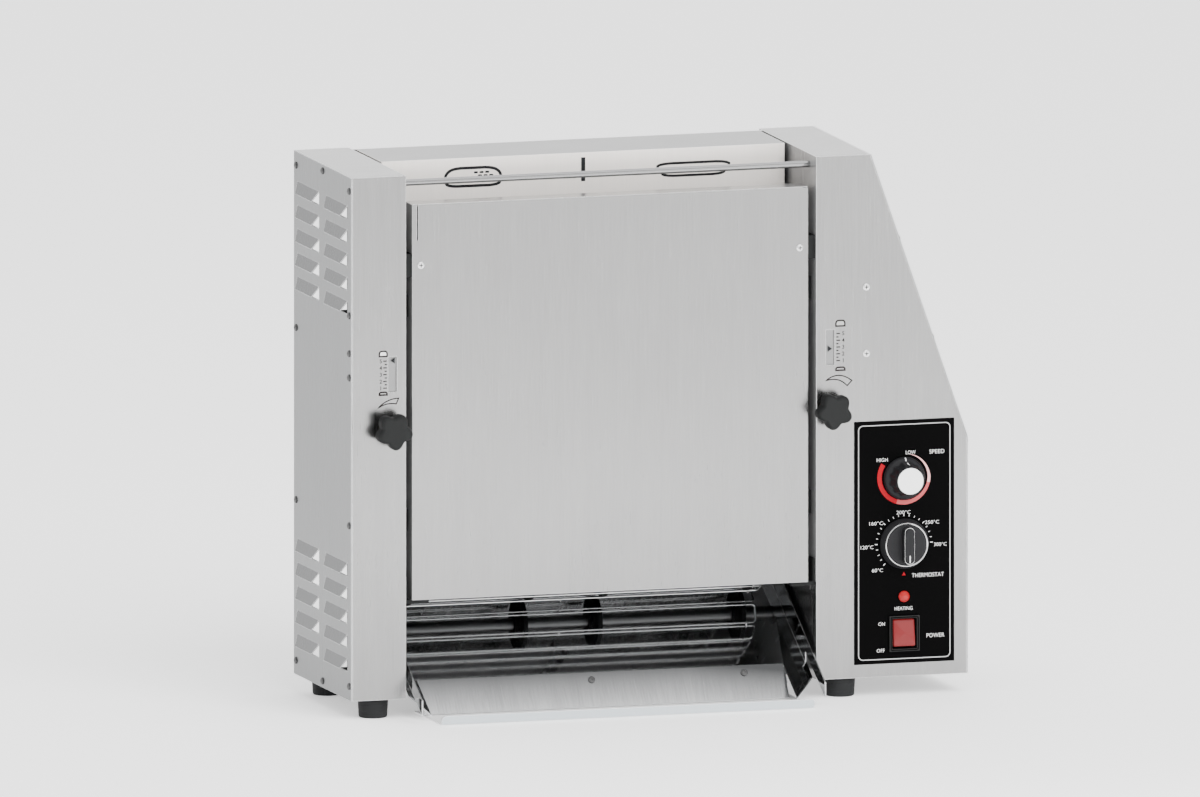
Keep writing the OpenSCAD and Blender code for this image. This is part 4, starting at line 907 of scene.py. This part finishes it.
def feed_marks():
    """Feed pictograms on the feed wall: a crown with six seeds, a flat heel that narrows to its foot, and a
    bar."""
    plane = edge_of("feed_deflector", Y, LOW) - INK_RISE
    crown_at, heel_at, bar_x = np.array([141.1, 450.3]), np.array([348.2, 450.9]), 244.7
    crown = eased([(-23.5, 0), (0, 0), (23.5, 0), (26.6, 5), (25.6, 12), (18, 16.4), (0, 16.4), (-18, 16.4),
                   (-25.6, 12), (-26.6, 5)], 2)
    heel = eased([(-28.5, 0), (0, 0), (28.5, 0), (30, 5), (33.6, 5.6), (33.6, 11.4), (0, 11.4), (-33.6, 11.4),
                  (-33.6, 5.6), (-30, 5)], 2)
    shells = [strip(crown + crown_at, 2.7, plane, closed=True),
              strip(heel + heel_at, 2.4, plane, closed=True),
              strip([(bar_x, 449.8), (bar_x, 471.6)], 4.0, plane)]
    seed, seed_step = stadium(4.0, 1.9, 0.93, 5), 5.3
    for row_x, row_z in ((2.7, 12.1), (6.5, 9.1)):
        shells += [patch(seed + crown_at + [row_x + seed_step * k, row_z], plane) for k in range(3)]
    piece("feed_pictograms", shells, dark_ink_and_shade, "toaster", closed=False)


def screw_recesses():
    """Painted shade of the front screws' cross recesses: two crossed dark bars on each head stand for the
    shade in the hollows.
    """
    for node, spots in (("cover_screws", ((0, 0.5), (1, 0.5))), ("controller_screws", ((0.5, 0), (0.5, 1)))):
        low, high = front_corners(node)
        plane = edge_of(node, Y, LOW) - INK_RISE
        bars = []
        for spot in spots:
            centre = low + SCREW_R + (high - low - 2 * SCREW_R) * np.array(spot)
            # Painted shade: flat dark bars in place of the shaded hollows of the recesses
            bars += [strip([centre - way, centre + way], 0.9, plane) for way in RECESS_HALF * np.eye(2)]
        piece(node + "_recess_painted_shade", bars, dark_ink_and_shade, "toaster", closed=False)


# Wire belt

WIRE_R = 0.8
RING_R = 0.36
RING_OUT = 0.6
HINGE_IN = 1.7
LINK_CORNER = 3.2
TURN_LINKS = 8
BELT_HALF = 1.0
BELT_RIGHT = 413.0


def tubes(path, inward, across, radius, around=8):
    """Closed tubes: each point of a loop carries a circle of the radius in the plane of its two unit vectors,
    inward and across. Path and vectors are arrays of loops, points and xyz in millimetres."""
    angle = (np.arange(around) * TURN / around)[:, None]
    rim = inward[:, :, None] * np.cos(angle) + across[:, :, None] * np.sin(angle)
    spots = (path[:, :, None] + radius * rim - ORIGIN) * MM
    return [grid(loop, True, True) for loop in spots]


def outward(loop):
    """Unit normals of a closed counter-clockwise loop of (u, v) points, pointing out of it."""
    along = unit(np.roll(loop, -1, axis=0) - np.roll(loop, 1, axis=0))
    return np.stack([along[:, 1], -along[:, 0]], axis=1)


def hinge_lines():
    """Places (y, z) of the belt's hinges and their pitch: two straight runs and two half turns, the hinges a
    pitch apart, which is the chord of one link in the turns."""
    (y0, y1), (z0, z1) = ([edge_of("wire_belt", axis, side) for side in (LOW, HIGH)] for axis in (Y, Z))
    radius = (y1 - y0) / 2 - BELT_HALF
    pitch = 2 * radius * np.sin(TURN / 2 / TURN_LINKS)
    low, high, middle = z0 + radius + BELT_HALF, z1 - radius - BELT_HALF, (y0 + y1) / 2
    runs = int(round((high - low) / pitch))
    bend = np.arange(TURN_LINKS // 2) * TURN / TURN_LINKS
    rise = np.stack([np.full(runs, middle - radius), low + np.arange(runs) * pitch], axis=1)
    over = np.stack([middle - radius * np.cos(bend), high + radius * np.sin(bend)], axis=1)
    return np.vstack([rise, over, [2 * middle, low + high] - rise, [2 * middle, low + high] - over]), pitch


def wire_ladder():
    """Ladder belt: each link is a closed rounded rectangle of wire between two hinge lines and a little
    inside both, so wires lie in pairs at every hinge; small rings hold each pair at three places and stand
    out from the belt, clear of the plates inside it."""
    left = edge_of("wire_belt", X, LOW)
    middle = (left + BELT_RIGHT) / 2
    hinges, pitch = hinge_lines()
    ahead = np.roll(hinges, -1, axis=0) - hinges
    way = unit(ahead)
    centre = hinges + ahead / 2

    def lift(flat, at, along):
        """Loops of (x, s) points, s measured along each link's way from its middle, as xyz."""
        along = along[:, None] * flat[None, :, 1:]
        across = np.broadcast_to(flat[None, :, :1], along[..., :1].shape)
        return np.concatenate([across, at[:, None] + along], axis=2)

    link = stadium(BELT_RIGHT - left, pitch - 2 * HINGE_IN, LINK_CORNER, 5)
    path = lift(link + [middle, 0], centre, way)
    inward = lift(outward(link), np.zeros_like(centre), way)
    across = np.zeros_like(path)
    across[..., 1:] = np.stack([-way[:, 1], way[:, 0]], axis=1)[:, None]
    shells = tubes(path, inward, across, WIRE_R)

    reach = WIRE_R + RING_R
    ring = stadium(2 * (HINGE_IN + reach), 2 * reach, reach, 4)
    mean = unit(way + np.roll(way, 1, axis=0))
    side = np.stack([-mean[:, 1], mean[:, 0]], axis=1)

    def swing(flat):
        """Loops of points along and across the belt, turned to each hinge."""
        return flat[None, :, :1] * mean[:, None] + flat[None, :, 1:] * side[:, None]

    turn = swing(ring) + (hinges + RING_OUT * side)[:, None]
    for x in (left + 6, middle - 12, BELT_RIGHT - 9):
        path = np.concatenate([np.full_like(turn[..., :1], x), turn], axis=2)
        inward = np.concatenate([np.zeros_like(turn[..., :1]), swing(outward(ring))], axis=2)
        across = np.zeros_like(path)
        across[..., X] = 1.0
        shells += tubes(path, inward, across, RING_R, 6)
    piece("wire_ladder", shells, wire_steel, "toaster", ["wire_belt"], crease=1.2)


# Everything together

def dress(node, finish):
    """Give every material slot of a solid one finish, and a first slot where it has none."""
    slots = nodes[node].data.materials
    if len(slots) == 0:
        slots.append(finish.material)
    for k in range(len(slots)):
        slots[k] = finish.material


FINISHES = [
    (casing, "left_housing right_housing front_cover"),
    (side_sheet, "right_side_panel right_rear_panel rear_panel base_pan"),
    (louvre_sheet, "left_side_panel"),
    (feed_sheet, "feed_deflector"),
    (inner_sheet, "motor_bracket"),
    (nose_sheet, "chute_nose"),
    (tray_sheet, "landing_tray"),
    (mirror_sheet, "bun_chute"),
    (wire_steel, "wire_belt"),
    (rod_steel, "guard_rod"),
    (shaft_steel, "drive_shaft idler_shaft left_knob_shaft right_knob_shaft"),
    (dark_steel, "motor_pulley shaft_pulley left_cam_bar right_cam_bar shaft_bearings"),
    (dark_steel, "speed_potentiometer thermostat_body"),
    (blackened, "drive_rollers idler_rollers cover_brackets platen_brackets"),
    (screw_steel, "cover_screws controller_screws"),
    (dark_screw, "left_panel_screws right_panel_screws chute_screws"),
    (plate_metal, "platen left_pressure_plate right_pressure_plate"),
    (slider_sheet, "left_slider right_slider thermostat_bulb"),
    (brass, "knob_bushes"),
    (board, "insulation_board"),
    (sheath, "heating_elements"),
    (motor_paint, "gear_motor"),
    (case_green, "speed_controller"),
    (film_black, "control_overlay"),
    (switch_black, "switch_body cable_gland"),
    (rubber, "feet drive_belt"),
    (knob_black, "left_knob right_knob speed_knob thermostat_knob"),
    (lamp_lens, "heating_lamp power_rocker"),
]

photo_camera()
white_surround()
soft_lights()
paper_floor()
for finish, names in FINISHES:
    for name in names.split():
        dress(name, finish)
star_knob("left", -13)
star_knob("right", 46)
speed_dial()
thermostat_dial()
heating_lamp()
switch_bezel()
rocker_cap()
foot_pads()
panel_border()
panel_lettering()
speed_arc()
thermostat_index()
thickness_scale("left", -1, (5.4, 11.1, 8.8), 7.2, (16.6, 4.6), (-18.5, 2.5),
                ((25.1, 265.6), (33.0, 273.9), (44.6, 274.1), (42.3, 268.9), (33.0, 271.0)))
thickness_scale("right", 1, (5.7, 12.2, 9.5), 8.4, (19.1, 5.0), (-21.2, 2.7),
                ((446.3, 271.8), (458.4, 281.0), (470.9, 271.0), (466.4, 266.5), (458.7, 275.3)))
scale_pointer("left", -1, 5.0)
scale_pointer("right", 1, 2.8)
feed_marks()
screw_recesses()
wire_ladder()
